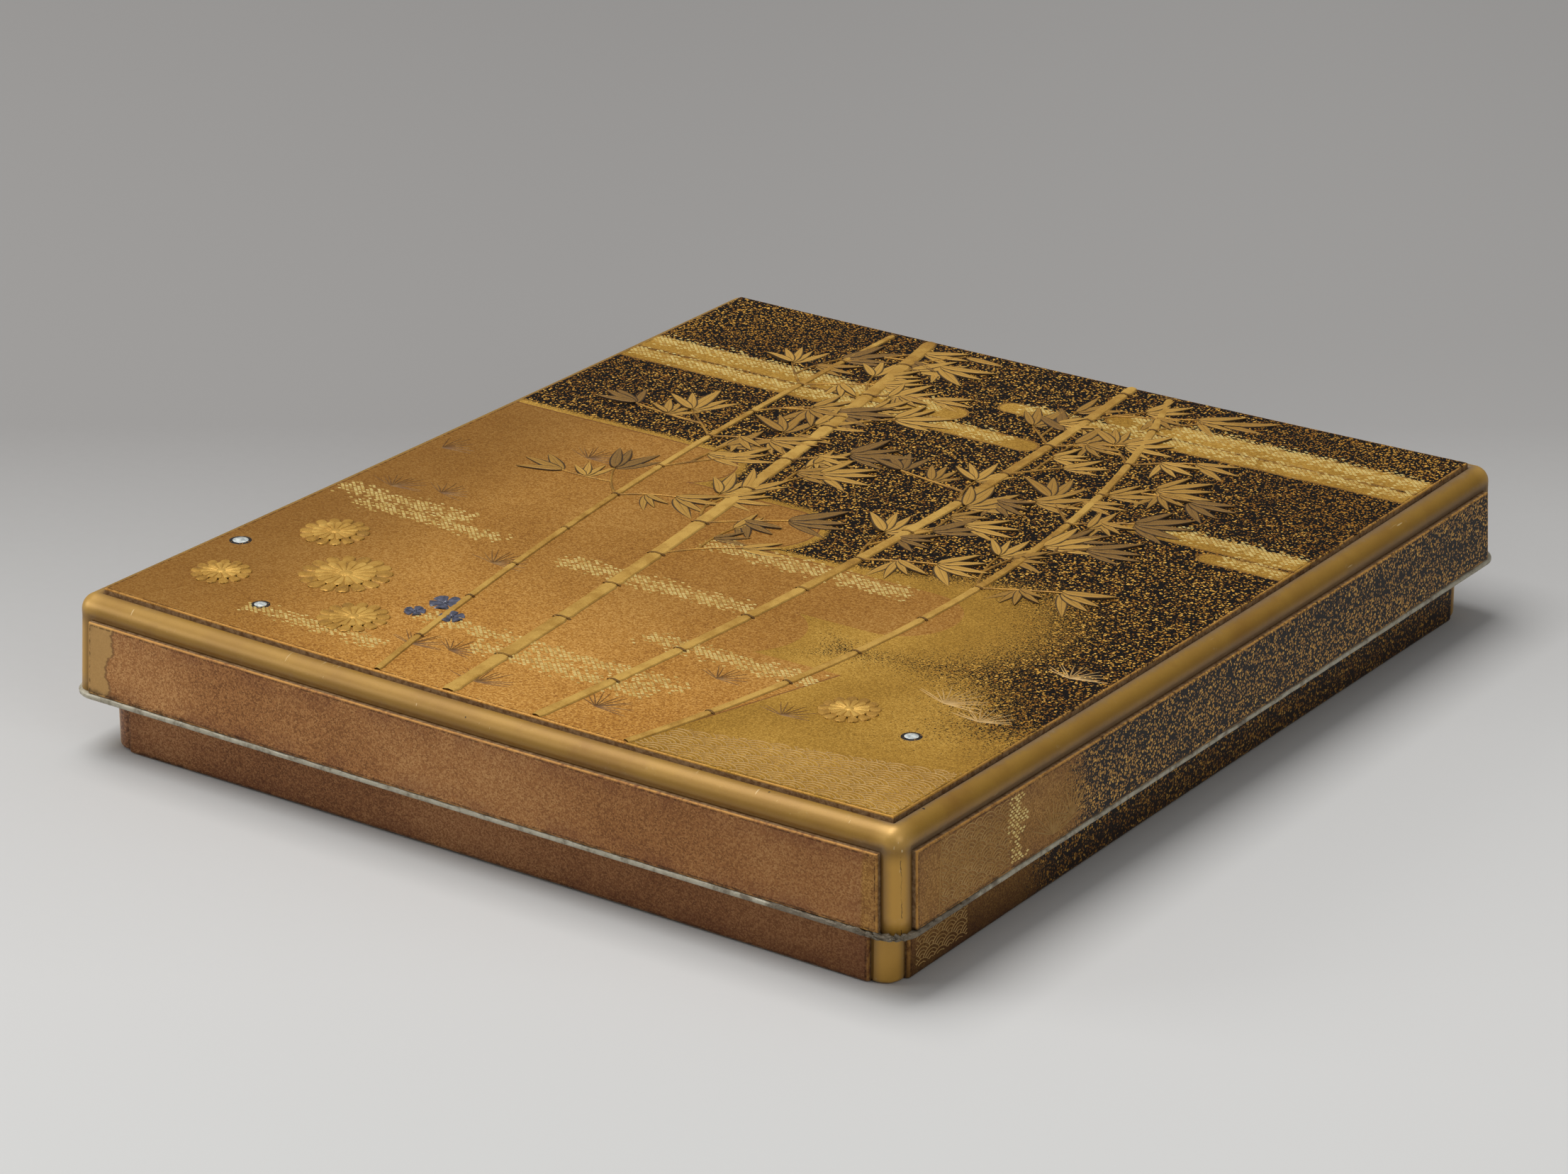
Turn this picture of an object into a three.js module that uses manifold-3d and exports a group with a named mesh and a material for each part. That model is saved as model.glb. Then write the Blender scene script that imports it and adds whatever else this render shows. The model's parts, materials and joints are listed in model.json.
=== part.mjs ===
// A lacquered writing box in millimetres: a lid that goes over a shallow base, with an inkstone board and
// two lift-out trays inside. +Z is up, -Y is the front, and the origin is the middle of the underside.
import * as THREE from "three";
import { mergeVertices } from "three/addons/utils/BufferGeometryUtils.js";
import Module from "manifold-3d";

const wasm = await Module();
wasm.setup();

// Overall size of the closed box, without the metal rim
const LID_WIDTH = 218;
const LID_LENGTH = 250;
const BOX_HEIGHT = 37.8;

// Lid: its walls spread outwards by LID_SPLAY on their way down
const LID_BOTTOM = 13.5;
const LID_WALL = 4.4;
const LID_SPLAY = 0.7;
const LID_BEAD_RADIUS = 3.75;
const LID_BEAD_SET_IN = 1;
const LID_BEAD_FLAT = 0.85;
const MOULDING_DROP = 6.2;

// Base
const BASE_WALL = 4.2;
const BASE_BEAD_RADIUS = 4.2;
const BASE_BEAD_SET_IN = 0.7;
const BASE_BEAD_FLAT = 1.1;
const FLOOR_BOARD = 4.2;
const FOOT_ROUND = 1.2;

// Each bead stands this much prouder than the flats beside it
const BEAD_RISE = 0.15;

// Metal rims
const RIM_HEIGHT = 1.3;
const RIM_PROUD = 0.3;
const LID_RIM_RADIUS = 6.6;
const BASE_RIM_RADIUS = 6;

// Clearances
const LID_CLEARANCE = 0.6;
const LIFT_OUT_CLEARANCE = 0.6;
const SEAT_GAP = 0.3;
const GLUE_GAP = 0.3;
const TANG_CLEARANCE = 0.2;

// Inkstone board and its surround, with a pocket for the inkstone and one for the water dropper
const STONE_BOARD_HEIGHT = 7;
const POCKET_DEPTH = 3;
const STONE_SIDE_MARGIN = 9;
const STONE_FRONT_MARGIN = 17;
const STONE_TO_DROPPER = 22;
const DROPPER_BACK_MARGIN = 19;
const DROPPER_SIDE_MARGIN = 18;

// Inkstone
const STONE_HEIGHT = 13;
const STONE_CORNER = 5;
const STONE_BORDER = 6;
const STONE_SUNK = 1.2;
const WELL_DEPTH = 7.5;
const WELL_LENGTH = 26;
const WELL_SLOPE = 22;

// Water dropper
const DROPPER_LENGTH = 44;
const DROPPER_HEIGHT = 16;
const DROPPER_CORNER = 7;
const DROPPER_WALL = 1.2;
const DROPPER_HOLE_RADIUS = 1.1;

// Trays and the rests across the left one
const TRAY_HEIGHT = 16;
const TRAY_WALL = 2.6;
const TRAY_FLOOR = 2.4;
const REST_THICKNESS = 6;
const REST_HEIGHT = 6.5;
const REST_BEHIND_TIP = 14;
const REST_FROM_BACK = 50;
const BRUSH_RISE = 1;

// Brushes: where each lies from the tray's outer wall and from its ends
const LARGE_BRUSH = { radius: 3.8, taper: 0.2, tip: 34, belly: 0.45, fromWall: 13, endGap: 9 };
const SMALL_BRUSH = { radius: 3.1, taper: 0.2, tip: 27, belly: 0.35, fromWall: 34, endGap: 13 };

// Tools in the right tray, in their order from the inkstone board outwards
const TOOL_GAP = 3;
const KNIFE = { handle: 112, width: 12, thickness: 7, blade: 66, point: 26, tang: 22 };
const KNIFE_BLADE = { width: 8.5, thickness: 1.6 };
const AWL = { handle: 104, radius: 3.6, taper: 0.7, spike: 50, spikeRadius: 1.4, point: 10, tang: 18 };
const INK_STICK = { width: 15, length: 78, height: 8, corner: 2 };

// Smoothness of round shapes
const ROUND_STEPS = 24;
const HANDLE_STEPS = 16;
const SPIKE_STEPS = 12;
const TIP_STEPS = 7;
const OVERSHOOT = 1;

// Places worked out from the sizes above
const LID_MARGIN = LID_BEAD_SET_IN + LID_BEAD_RADIUS + LID_BEAD_FLAT;
const BASE_MARGIN = BASE_BEAD_SET_IN + BASE_BEAD_RADIUS + BASE_BEAD_FLAT;
const HALF_WIDTH = LID_WIDTH / 2;
const HALF_LENGTH = LID_LENGTH / 2;
const BASE_INSET = LID_WALL + LID_CLEARANCE;
const BASE_HALF_WIDTH = HALF_WIDTH - BASE_INSET;
const BASE_HALF_LENGTH = HALF_LENGTH - BASE_INSET;
const LID_WALL_TOP = BOX_HEIGHT - MOULDING_DROP;
const LID_RIM_TOP = LID_BOTTOM + RIM_HEIGHT;
const BASE_TOP = LID_WALL_TOP - SEAT_GAP;
const BASE_RIM_BOTTOM = BASE_TOP - RIM_HEIGHT;
const BASE_WALL_TOP = BASE_RIM_BOTTOM - GLUE_GAP;
const INNER_HALF_WIDTH = BASE_HALF_WIDTH - BASE_WALL;
const INNER_HALF_LENGTH = BASE_HALF_LENGTH - BASE_WALL;
const LIFT_OUT_BOTTOM = FLOOR_BOARD + SEAT_GAP;
const LIFT_OUT_HALF_LENGTH = INNER_HALF_LENGTH - LIFT_OUT_CLEARANCE;
const TRAY_WIDTH = 2 * TRAY_WALL + 4 * TOOL_GAP + KNIFE.width + 2 * AWL.radius + INK_STICK.width;
const TRAY_OUTER = INNER_HALF_WIDTH - LIFT_OUT_CLEARANCE;
const TRAY_INNER = TRAY_OUTER - TRAY_WIDTH;
const TRAY_HALF_INSIDE = LIFT_OUT_HALF_LENGTH - TRAY_WALL;
const TRAY_FLOOR_TOP = LIFT_OUT_BOTTOM + TRAY_FLOOR;
const TOOL_BOTTOM = TRAY_FLOOR_TOP + SEAT_GAP;
const STONE_BOARD_HALF = TRAY_INNER - LIFT_OUT_CLEARANCE;
const STONE_BOARD_TOP = LIFT_OUT_BOTTOM + STONE_BOARD_HEIGHT;
const POCKET_BOTTOM = STONE_BOARD_TOP - POCKET_DEPTH;
const STONE_WIDTH = 2 * (STONE_BOARD_HALF - STONE_SIDE_MARGIN);
const DROPPER_WIDTH = 2 * (STONE_BOARD_HALF - DROPPER_SIDE_MARGIN);
const DROPPER_Y = LIFT_OUT_HALF_LENGTH - DROPPER_BACK_MARGIN - DROPPER_LENGTH / 2;
const STONE_FRONT = -LIFT_OUT_HALF_LENGTH + STONE_FRONT_MARGIN;
const STONE_BACK = DROPPER_Y - DROPPER_LENGTH / 2 - STONE_TO_DROPPER;
const STONE_LENGTH = STONE_BACK - STONE_FRONT;
const STONE_Y = (STONE_FRONT + STONE_BACK) / 2;
const REST_BOTTOM = TRAY_FLOOR_TOP + GLUE_GAP;
const REST_TOP = REST_BOTTOM + REST_HEIGHT;
const BRUSH_HEIGHT = REST_TOP + BRUSH_RISE;
const FRONT_REST_Y = -TRAY_HALF_INSIDE + LARGE_BRUSH.endGap + LARGE_BRUSH.tip + REST_BEHIND_TIP;
const BACK_REST_Y = TRAY_HALF_INSIDE - REST_FROM_BACK;
const KNIFE_X = TRAY_INNER + TRAY_WALL + TOOL_GAP + KNIFE.width / 2;
const AWL_X = KNIFE_X + KNIFE.width / 2 + TOOL_GAP + AWL.radius;
const INK_STICK_X = AWL_X + AWL.radius + TOOL_GAP + INK_STICK.width / 2;

function material(color, roughness, metalness) {
  return new THREE.MeshStandardMaterial({ color, roughness, metalness });
}

const GOLD_FIELD = material(0xa8702c, 0.42, 0.6);
const GOLD_BEAD = material(0xb98a3a, 0.3, 0.8);
const DARK_LACQUER = material(0x3b2a16, 0.35, 0.4);
const BROWN_LACQUER = material(0x7d5630, 0.45, 0.5);
const BLACK_LACQUER = material(0x15100d, 0.2, 0);
const PEWTER = material(0x8f8f86, 0.55, 0.8);
const SLATE = material(0x2c2d31, 0.7, 0);
const SILVER = material(0xb9b6ac, 0.3, 1);
const BAMBOO = material(0xb78c4e, 0.5, 0);
const HAIR = material(0xe6dccb, 0.8, 0);
const STEEL = material(0x9a9c9e, 0.3, 1);
const INK = material(0x141416, 0.6, 0);

const box = new THREE.Group();

// Adds a named piece to the box.
function add(name, geometry, finish) {
  const mesh = new THREE.Mesh(geometry, finish);
  mesh.name = name;
  box.add(mesh);
  return mesh;
}

// A block between two corners.
function block(x0, x1, y0, y1, z0, z1) {
  const geometry = new THREE.BoxGeometry(x1 - x0, y1 - y0, z1 - z0);
  return geometry.translate((x0 + x1) / 2, (y0 + y1) / 2, (z0 + z1) / 2);
}

// An upright cylinder or cone on the point x, y.
function column(x, y, z0, z1, bottomRadius, topRadius = bottomRadius, steps = ROUND_STEPS) {
  const geometry = new THREE.CylinderGeometry(topRadius, bottomRadius, z1 - z0, steps);
  return geometry.rotateX(Math.PI / 2).translate(x, y, (z0 + z1) / 2);
}

// Lays an upright shape down, so that its height runs along +Y from the point x, y, z.
function layDown(geometry, x, y, z) {
  return geometry.rotateX(-Math.PI / 2).translate(x, y, z);
}

// A rectangle with round corners about the point x, y, as an outline to extrude.
function roundedOutline(width, length, radius, x, y) {
  const [left, right] = [x - width / 2, x + width / 2];
  const [low, high] = [y - length / 2, y + length / 2];
  const shape = new THREE.Shape();
  shape.absarc(right - radius, low + radius, radius, 1.5 * Math.PI, 2 * Math.PI);
  shape.absarc(right - radius, high - radius, radius, 0, 0.5 * Math.PI);
  shape.absarc(left + radius, high - radius, radius, 0.5 * Math.PI, Math.PI);
  shape.absarc(left + radius, low + radius, radius, Math.PI, 1.5 * Math.PI);
  return shape;
}

// An outline extruded upwards from z0 to z1.
function upright(shape, z0, z1, curveSegments = 6) {
  const options = { depth: z1 - z0, bevelEnabled: false, curveSegments };
  return new THREE.ExtrudeGeometry(shape, options).translate(0, 0, z0);
}

// An outline drawn in Y and Z, extruded along X from x0 to x1.
function alongX(shape, x0, x1) {
  const turn = new THREE.Matrix4().makeBasis(
    new THREE.Vector3(0, 1, 0),
    new THREE.Vector3(0, 0, 1),
    new THREE.Vector3(1, 0, 0),
  );
  return upright(shape, 0, x1 - x0).applyMatrix4(turn).translate(x0, 0, 0);
}

function toSolid(geometry) {
  const bare = geometry.clone();
  bare.deleteAttribute("normal");
  bare.deleteAttribute("uv");
  const merged = mergeVertices(bare, 1e-4);
  return new wasm.Manifold(
    new wasm.Mesh({
      numProp: 3,
      vertProperties: merged.attributes.position.array,
      triVerts: new Uint32Array(merged.index.array),
    }),
  );
}

function toGeometry(solid) {
  const mesh = solid.getMesh();
  const geometry = new THREE.BufferGeometry();
  geometry.setAttribute("position", new THREE.BufferAttribute(new Float32Array(mesh.vertProperties), 3));
  geometry.setIndex(new THREE.BufferAttribute(new Uint32Array(mesh.triVerts), 1));
  return geometry;
}

function join(...geometries) {
  return toGeometry(geometries.map(toSolid).reduce((sum, part) => sum.add(part)));
}

function cut(geometry, ...tools) {
  return toGeometry(tools.map(toSolid).reduce((rest, tool) => rest.subtract(tool), toSolid(geometry)));
}

function common(...geometries) {
  return toGeometry(geometries.map(toSolid).reduce((rest, part) => rest.intersect(part)));
}

// The four sides, each modelled as the front one and turned into place.
const SIDES = ["front", "right", "back", "left"];

function addSide(name, index, geometry, finish) {
  add(`${name}_${SIDES[index]}`, geometry, finish).rotation.z = (index * Math.PI) / 2;
}

// Half the run of one side, and how far that side stands from the middle.
function sideSizes(index, halfWidth, halfLength) {
  return index % 2 === 0 ? [halfWidth, halfLength] : [halfLength, halfWidth];
}

// The four corners, each modelled at the right of the front with its outer edge on 0, 0.
const CORNERS = ["front_right", "back_right", "back_left", "front_left"];

function addCorner(name, index, geometry, finish, halfWidth, halfLength) {
  const mesh = add(`${name}_${CORNERS[index]}`, geometry, finish);
  const toRight = index < 2 ? 1 : -1;
  const toBack = index === 1 || index === 2 ? 1 : -1;
  mesh.rotation.z = (index * Math.PI) / 2;
  mesh.position.set(toRight * halfWidth, toBack * halfLength, 0);
}

// The plan of a corner: a bead between two flats, on walls that are this thick.
function cornerOutline(bead, setIn, margin, wall) {
  const centre = setIn + bead;
  const flat = setIn + BEAD_RISE;
  const shape = new THREE.Shape();
  shape.moveTo(-margin, flat);
  shape.lineTo(-centre, flat);
  shape.absarc(-centre, centre, bead, 1.5 * Math.PI, 2 * Math.PI);
  shape.lineTo(-flat, centre);
  shape.lineTo(-flat, margin);
  shape.lineTo(-wall, margin);
  if (wall < margin) shape.lineTo(-wall, wall);
  shape.lineTo(-margin, wall);
  return shape;
}

// How far the lid's walls have spread outwards at a height.
function splayAt(z) {
  return (LID_SPLAY * (LID_WALL_TOP - z)) / (LID_WALL_TOP - LID_BOTTOM);
}

// Moves every point of a lid piece outwards by the splay at its height. sideOf says which way is out along X.
function splay(geometry, sideOf) {
  const place = geometry.attributes.position;
  for (let i = 0; i < place.count; i += 1) {
    const out = splayAt(place.getZ(i));
    place.setX(i, place.getX(i) + sideOf(place.getX(i)) * out);
    place.setY(i, place.getY(i) - out);
  }
  return geometry;
}

// The lid's top board, whose face stands a little above the moulding round it.
function makeLidTop() {
  const x = HALF_WIDTH - LID_MARGIN - GLUE_GAP;
  const y = HALF_LENGTH - LID_MARGIN - GLUE_GAP;
  add("lid_top_board", block(-x, x, -y, y, LID_WALL_TOP, BOX_HEIGHT), GOLD_FIELD);
}

// The moulding along one edge of the lid: a quarter-round bead between two narrow flats.
function makeLidMoulding(index) {
  const [halfRun, away] = sideSizes(index, HALF_WIDTH, HALF_LENGTH);
  const centre = LID_BEAD_SET_IN + LID_BEAD_RADIUS;
  const flat = LID_BEAD_SET_IN + BEAD_RISE;
  const shape = new THREE.Shape();
  shape.moveTo(LID_MARGIN - away, LID_WALL_TOP + GLUE_GAP);
  shape.lineTo(LID_MARGIN - away, BOX_HEIGHT - flat);
  shape.lineTo(centre - away, BOX_HEIGHT - flat);
  shape.absarc(centre - away, BOX_HEIGHT - centre, LID_BEAD_RADIUS, 0.5 * Math.PI, Math.PI);
  shape.lineTo(flat - away, BOX_HEIGHT - centre);
  shape.lineTo(flat - away, LID_WALL_TOP + GLUE_GAP);
  const end = halfRun - LID_MARGIN - GLUE_GAP;
  addSide("lid_moulding", index, alongX(shape, -end, end), GOLD_BEAD);
}

// One wall of the lid.
function makeLidWall(index, finish) {
  const [halfRun, away] = sideSizes(index, HALF_WIDTH, HALF_LENGTH);
  const end = halfRun - LID_MARGIN - GLUE_GAP;
  const wall = block(-end, end, -away, LID_WALL - away, LID_RIM_TOP + GLUE_GAP, LID_WALL_TOP);
  addSide("lid_wall", index, splay(wall, Math.sign), finish);
}

// One corner of the lid: an upright bead that ends in a ball, where the two mouldings meet.
function makeLidCorner(index) {
  const radius = LID_BEAD_RADIUS;
  const centre = LID_BEAD_SET_IN + radius;
  const flat = LID_BEAD_SET_IN + BEAD_RISE;
  const ballHeight = BOX_HEIGHT - centre;
  const run = LID_MARGIN - centre;
  const lowOutline = cornerOutline(radius, LID_BEAD_SET_IN, LID_MARGIN, LID_WALL);
  const highOutline = cornerOutline(radius, LID_BEAD_SET_IN, LID_MARGIN, LID_MARGIN);
  const low = splay(upright(lowOutline, LID_RIM_TOP + GLUE_GAP, LID_WALL_TOP), () => 1);
  const high = upright(highOutline, LID_WALL_TOP, ballHeight);
  const ball = new THREE.SphereGeometry(radius, ROUND_STEPS, ROUND_STEPS / 2).rotateX(Math.PI / 2);
  const beadAlongX = column(0, 0, 0, run, radius).rotateY(-Math.PI / 2);
  const beadAlongY = layDown(column(0, 0, 0, run, radius), -centre, centre, ballHeight);
  const core = block(-LID_MARGIN, -centre, centre, LID_MARGIN, ballHeight - OVERSHOOT, BOX_HEIGHT - flat);
  const cap = common(
    join(
      ball.translate(-centre, centre, ballHeight),
      beadAlongX.translate(-centre, centre, ballHeight),
      beadAlongY,
      core,
    ),
    block(-LID_MARGIN, 0, 0, LID_MARGIN, LID_WALL_TOP, BOX_HEIGHT),
  );
  addCorner("lid_corner", index, join(low, high, cap), GOLD_BEAD, HALF_WIDTH, HALF_LENGTH);
}

// One mitred strip of a metal rim, whose outer edge turns half of each corner. It is drawn for a slightly
// smaller box and moved out, so that its mitres keep clear of its neighbours.
function addRimStrip(name, index, halfWidth, halfLength, wall, radius, z0) {
  const short = GLUE_GAP / 2;
  const [halfRun, away] = sideSizes(index, halfWidth - short, halfLength - short);
  const shape = new THREE.Shape();
  shape.moveTo(wall - halfRun, wall - away);
  shape.absarc(radius - halfRun, radius - away, radius, 1.25 * Math.PI, 1.5 * Math.PI);
  shape.absarc(halfRun - radius, radius - away, radius, 1.5 * Math.PI, 1.75 * Math.PI);
  shape.lineTo(halfRun - wall, wall - away);
  addSide(name, index, upright(shape, z0, z0 + RIM_HEIGHT).translate(0, -short, 0), PEWTER);
}

function makeLidRim(index) {
  const out = LID_SPLAY + RIM_PROUD;
  const wall = LID_WALL + RIM_PROUD;
  addRimStrip("lid_rim", index, HALF_WIDTH + out, HALF_LENGTH + out, wall, LID_RIM_RADIUS, LID_BOTTOM);
}

function makeBaseRim(index) {
  const [halfWidth, halfLength] = [BASE_HALF_WIDTH, BASE_HALF_LENGTH];
  addRimStrip("base_rim", index, halfWidth, halfLength, BASE_WALL, BASE_RIM_RADIUS, BASE_RIM_BOTTOM);
}

// The section of a base wall that stands on y = 0 with a rounded foot, up to this thickness.
function footOutline(thickness) {
  const shape = new THREE.Shape();
  shape.moveTo(thickness, 0);
  shape.lineTo(thickness, BASE_WALL_TOP);
  shape.lineTo(0, BASE_WALL_TOP);
  shape.absarc(FOOT_ROUND, FOOT_ROUND, FOOT_ROUND, Math.PI, 1.5 * Math.PI);
  return shape;
}

function makeBaseWall(index, finish) {
  const [halfRun, away] = sideSizes(index, BASE_HALF_WIDTH, BASE_HALF_LENGTH);
  const end = halfRun - BASE_MARGIN - GLUE_GAP;
  const wall = alongX(footOutline(BASE_WALL), -end, end).translate(0, -away, 0);
  addSide("base_wall", index, wall, finish);
}

// One corner of the base: an upright bead between two flats, with the walls' rounded foot.
function makeBaseCorner(index) {
  const outline = cornerOutline(BASE_BEAD_RADIUS, BASE_BEAD_SET_IN, BASE_MARGIN, BASE_WALL);
  const foot = footOutline(BASE_MARGIN);
  const corner = common(
    upright(outline, 0, BASE_WALL_TOP),
    alongX(foot, -BASE_MARGIN, 0),
    alongX(foot, 0, BASE_MARGIN).rotateZ(Math.PI / 2),
  );
  addCorner("base_corner", index, corner, GOLD_BEAD, BASE_HALF_WIDTH, BASE_HALF_LENGTH);
}

function makeBaseFloor() {
  const x = INNER_HALF_WIDTH - GLUE_GAP;
  const y = INNER_HALF_LENGTH - GLUE_GAP;
  add("base_floor_board", block(-x, x, -y, y, 0, FLOOR_BOARD), DARK_LACQUER);
}

// The board between the trays, and the surround glued on it, whose two windows hold the inkstone and the
// water dropper.
function makeStoneBoard() {
  const [x, y] = [STONE_BOARD_HALF, LIFT_OUT_HALF_LENGTH];
  const spare = 2 * LIFT_OUT_CLEARANCE;
  const surround = new THREE.Shape();
  surround.moveTo(-x, -y).lineTo(x, -y).lineTo(x, y).lineTo(-x, y);
  surround.holes.push(
    roundedOutline(STONE_WIDTH + spare, STONE_LENGTH + spare, STONE_CORNER, 0, STONE_Y),
    roundedOutline(DROPPER_WIDTH + spare, DROPPER_LENGTH + spare, DROPPER_CORNER, 0, DROPPER_Y),
  );
  add("inkstone_board", block(-x, x, -y, y, LIFT_OUT_BOTTOM, POCKET_BOTTOM), DARK_LACQUER);
  add("inkstone_surround", upright(surround, POCKET_BOTTOM + GLUE_GAP, STONE_BOARD_TOP), DARK_LACQUER);
}

// The inkstone: a flat for grinding that slopes down to a well at the back.
function makeInkstone() {
  const bottom = POCKET_BOTTOM + SEAT_GAP;
  const top = bottom + STONE_HEIGHT;
  const [width, length] = [STONE_WIDTH - 2 * STONE_BORDER, STONE_LENGTH - 2 * STONE_BORDER];
  const inside = roundedOutline(width, length, STONE_CORNER, 0, STONE_Y);
  const wellBack = STONE_BACK - STONE_BORDER;
  const wellFront = wellBack - WELL_LENGTH;
  const section = new THREE.Shape();
  section.moveTo(wellBack, top - WELL_DEPTH);
  section.lineTo(wellBack, top + OVERSHOOT);
  section.lineTo(wellFront - WELL_SLOPE, top + OVERSHOOT);
  section.lineTo(wellFront - WELL_SLOPE, top - STONE_SUNK);
  section.lineTo(wellFront, top - WELL_DEPTH);
  const well = common(alongX(section, -width / 2, width / 2), upright(inside, bottom, top + OVERSHOOT));
  const stone = upright(roundedOutline(STONE_WIDTH, STONE_LENGTH, STONE_CORNER, 0, STONE_Y), bottom, top);
  const flat = upright(inside, top - STONE_SUNK, top + OVERSHOOT);
  add("inkstone", cut(stone, flat, well), SLATE);
}

// The water dropper: a hollow shell on a plate, with an air hole on top and a pouring hole at one corner.
function makeWaterDropper() {
  const bottom = POCKET_BOTTOM + SEAT_GAP;
  const top = bottom + DROPPER_HEIGHT;
  const plateTop = bottom + DROPPER_WALL;
  const outside = roundedOutline(DROPPER_WIDTH, DROPPER_LENGTH, DROPPER_CORNER, 0, DROPPER_Y);
  const inside = roundedOutline(
    DROPPER_WIDTH - 2 * DROPPER_WALL,
    DROPPER_LENGTH - 2 * DROPPER_WALL,
    DROPPER_CORNER - DROPPER_WALL,
    0,
    DROPPER_Y,
  );
  const hole = (x, y) =>
    column(x, y, top - DROPPER_WALL - OVERSHOOT, top + OVERSHOOT, DROPPER_HOLE_RADIUS);
  const spoutX = DROPPER_CORNER - DROPPER_WIDTH / 2;
  const spoutY = DROPPER_Y - DROPPER_LENGTH / 2 + DROPPER_CORNER;
  const shell = cut(
    upright(outside, plateTop + GLUE_GAP, top),
    upright(inside, plateTop, top - DROPPER_WALL),
    hole(0, DROPPER_Y),
    hole(spoutX, spoutY),
  );
  add("water_dropper_plate", upright(outside, bottom, plateTop), SILVER);
  add("water_dropper_shell", shell, SILVER);
}

// A tray between x0 and x1, made of a floor and four walls.
function makeTray(side, x0, x1) {
  const y = LIFT_OUT_HALF_LENGTH;
  const [z0, z1] = [TRAY_FLOOR_TOP + GLUE_GAP, LIFT_OUT_BOTTOM + TRAY_HEIGHT];
  const [insideLeft, insideRight] = [x0 + TRAY_WALL + GLUE_GAP, x1 - TRAY_WALL - GLUE_GAP];
  const walls = {
    left: block(x0, x0 + TRAY_WALL, -y, y, z0, z1),
    right: block(x1 - TRAY_WALL, x1, -y, y, z0, z1),
    front: block(insideLeft, insideRight, -y, TRAY_WALL - y, z0, z1),
    back: block(insideLeft, insideRight, y - TRAY_WALL, y, z0, z1),
  };
  add(`${side}_tray_floor`, block(x0, x1, -y, y, LIFT_OUT_BOTTOM, TRAY_FLOOR_TOP), BLACK_LACQUER);
  for (const [name, wall] of Object.entries(walls)) add(`${side}_tray_wall_${name}`, wall, BLACK_LACQUER);
}

// Where a brush lies across the left tray.
function brushX(brush) {
  return -TRAY_OUTER + TRAY_WALL + brush.fromWall;
}

// A rest across the brush tray, with a notch of two slopes for each brush.
function makeBrushRest(name, y) {
  const x0 = -TRAY_OUTER + TRAY_WALL + GLUE_GAP;
  const x1 = -TRAY_INNER - TRAY_WALL - GLUE_GAP;
  const shape = new THREE.Shape();
  shape.moveTo(x1, REST_BOTTOM);
  shape.lineTo(x1, REST_TOP);
  for (const brush of [SMALL_BRUSH, LARGE_BRUSH]) {
    const toApex = (brush.radius + SEAT_GAP) * Math.SQRT2;
    const halfMouth = toApex - BRUSH_RISE;
    shape.lineTo(brushX(brush) + halfMouth, REST_TOP);
    shape.lineTo(brushX(brush), BRUSH_HEIGHT - toApex);
    shape.lineTo(brushX(brush) - halfMouth, REST_TOP);
  }
  shape.lineTo(x0, REST_TOP);
  shape.lineTo(x0, REST_BOTTOM);
  const bar = upright(shape, 0, REST_THICKNESS).rotateX(Math.PI / 2);
  add(name, bar.translate(0, y + REST_THICKNESS / 2, 0), BLACK_LACQUER);
}

// A brush that lies along the tray with its tip to the front.
function makeBrush(name, brush) {
  const x = brushX(brush);
  const root = -TRAY_HALF_INSIDE + brush.endGap + brush.tip;
  const length = TRAY_HALF_INSIDE - brush.endGap - root;
  const shaft = column(0, 0, 0, length, brush.radius, brush.radius - brush.taper, HANDLE_STEPS);
  add(`${name}_shaft`, layDown(shaft, x, root, BRUSH_HEIGHT), BAMBOO);
  const profile = [new THREE.Vector2(0, 0), new THREE.Vector2(brush.radius, 0)];
  for (let i = 1; i < TIP_STEPS; i += 1) {
    const along = i / TIP_STEPS;
    const belly = brush.radius + brush.belly * Math.sin(Math.PI * Math.min(1, 2 * along));
    profile.push(new THREE.Vector2(belly * Math.sqrt(1 - along ** 2), brush.tip * along));
  }
  profile.push(new THREE.Vector2(0, brush.tip));
  const tip = new THREE.LatheGeometry(profile, HANDLE_STEPS).rotateX(Math.PI);
  add(`${name}_tip`, tip.translate(x, root - GLUE_GAP, BRUSH_HEIGHT), HAIR);
}

// The paper knife: a flat handle with a slot for the blade's tang.
function makePaperKnife() {
  const middle = TOOL_BOTTOM + KNIFE.thickness / 2;
  const front = (KNIFE.blade - KNIFE.handle) / 2;
  const corner = KNIFE.width / 3;
  const outline = roundedOutline(KNIFE.width, KNIFE.handle, corner, KNIFE_X, front + KNIFE.handle / 2);
  const halfBlade = KNIFE_BLADE.width / 2;
  const halfSlot = halfBlade + TANG_CLEARANCE;
  const slot = block(
    KNIFE_X - halfSlot,
    KNIFE_X + halfSlot,
    front - OVERSHOOT,
    front + KNIFE.tang + TANG_CLEARANCE,
    middle - KNIFE_BLADE.thickness / 2 - TANG_CLEARANCE,
    middle + KNIFE_BLADE.thickness / 2 + TANG_CLEARANCE,
  );
  const handle = upright(outline, TOOL_BOTTOM, TOOL_BOTTOM + KNIFE.thickness);
  add("paper_knife_handle", cut(handle, slot), BLACK_LACQUER);
  const blade = new THREE.Shape();
  blade.moveTo(KNIFE_X - halfBlade, front + KNIFE.tang);
  blade.lineTo(KNIFE_X - halfBlade, front - KNIFE.blade);
  blade.lineTo(KNIFE_X + halfBlade, front - KNIFE.blade + KNIFE.point);
  blade.lineTo(KNIFE_X + halfBlade, front + KNIFE.tang);
  const bladeBottom = middle - KNIFE_BLADE.thickness / 2;
  add("paper_knife_blade", upright(blade, bladeBottom, bladeBottom + KNIFE_BLADE.thickness), STEEL);
}

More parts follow.
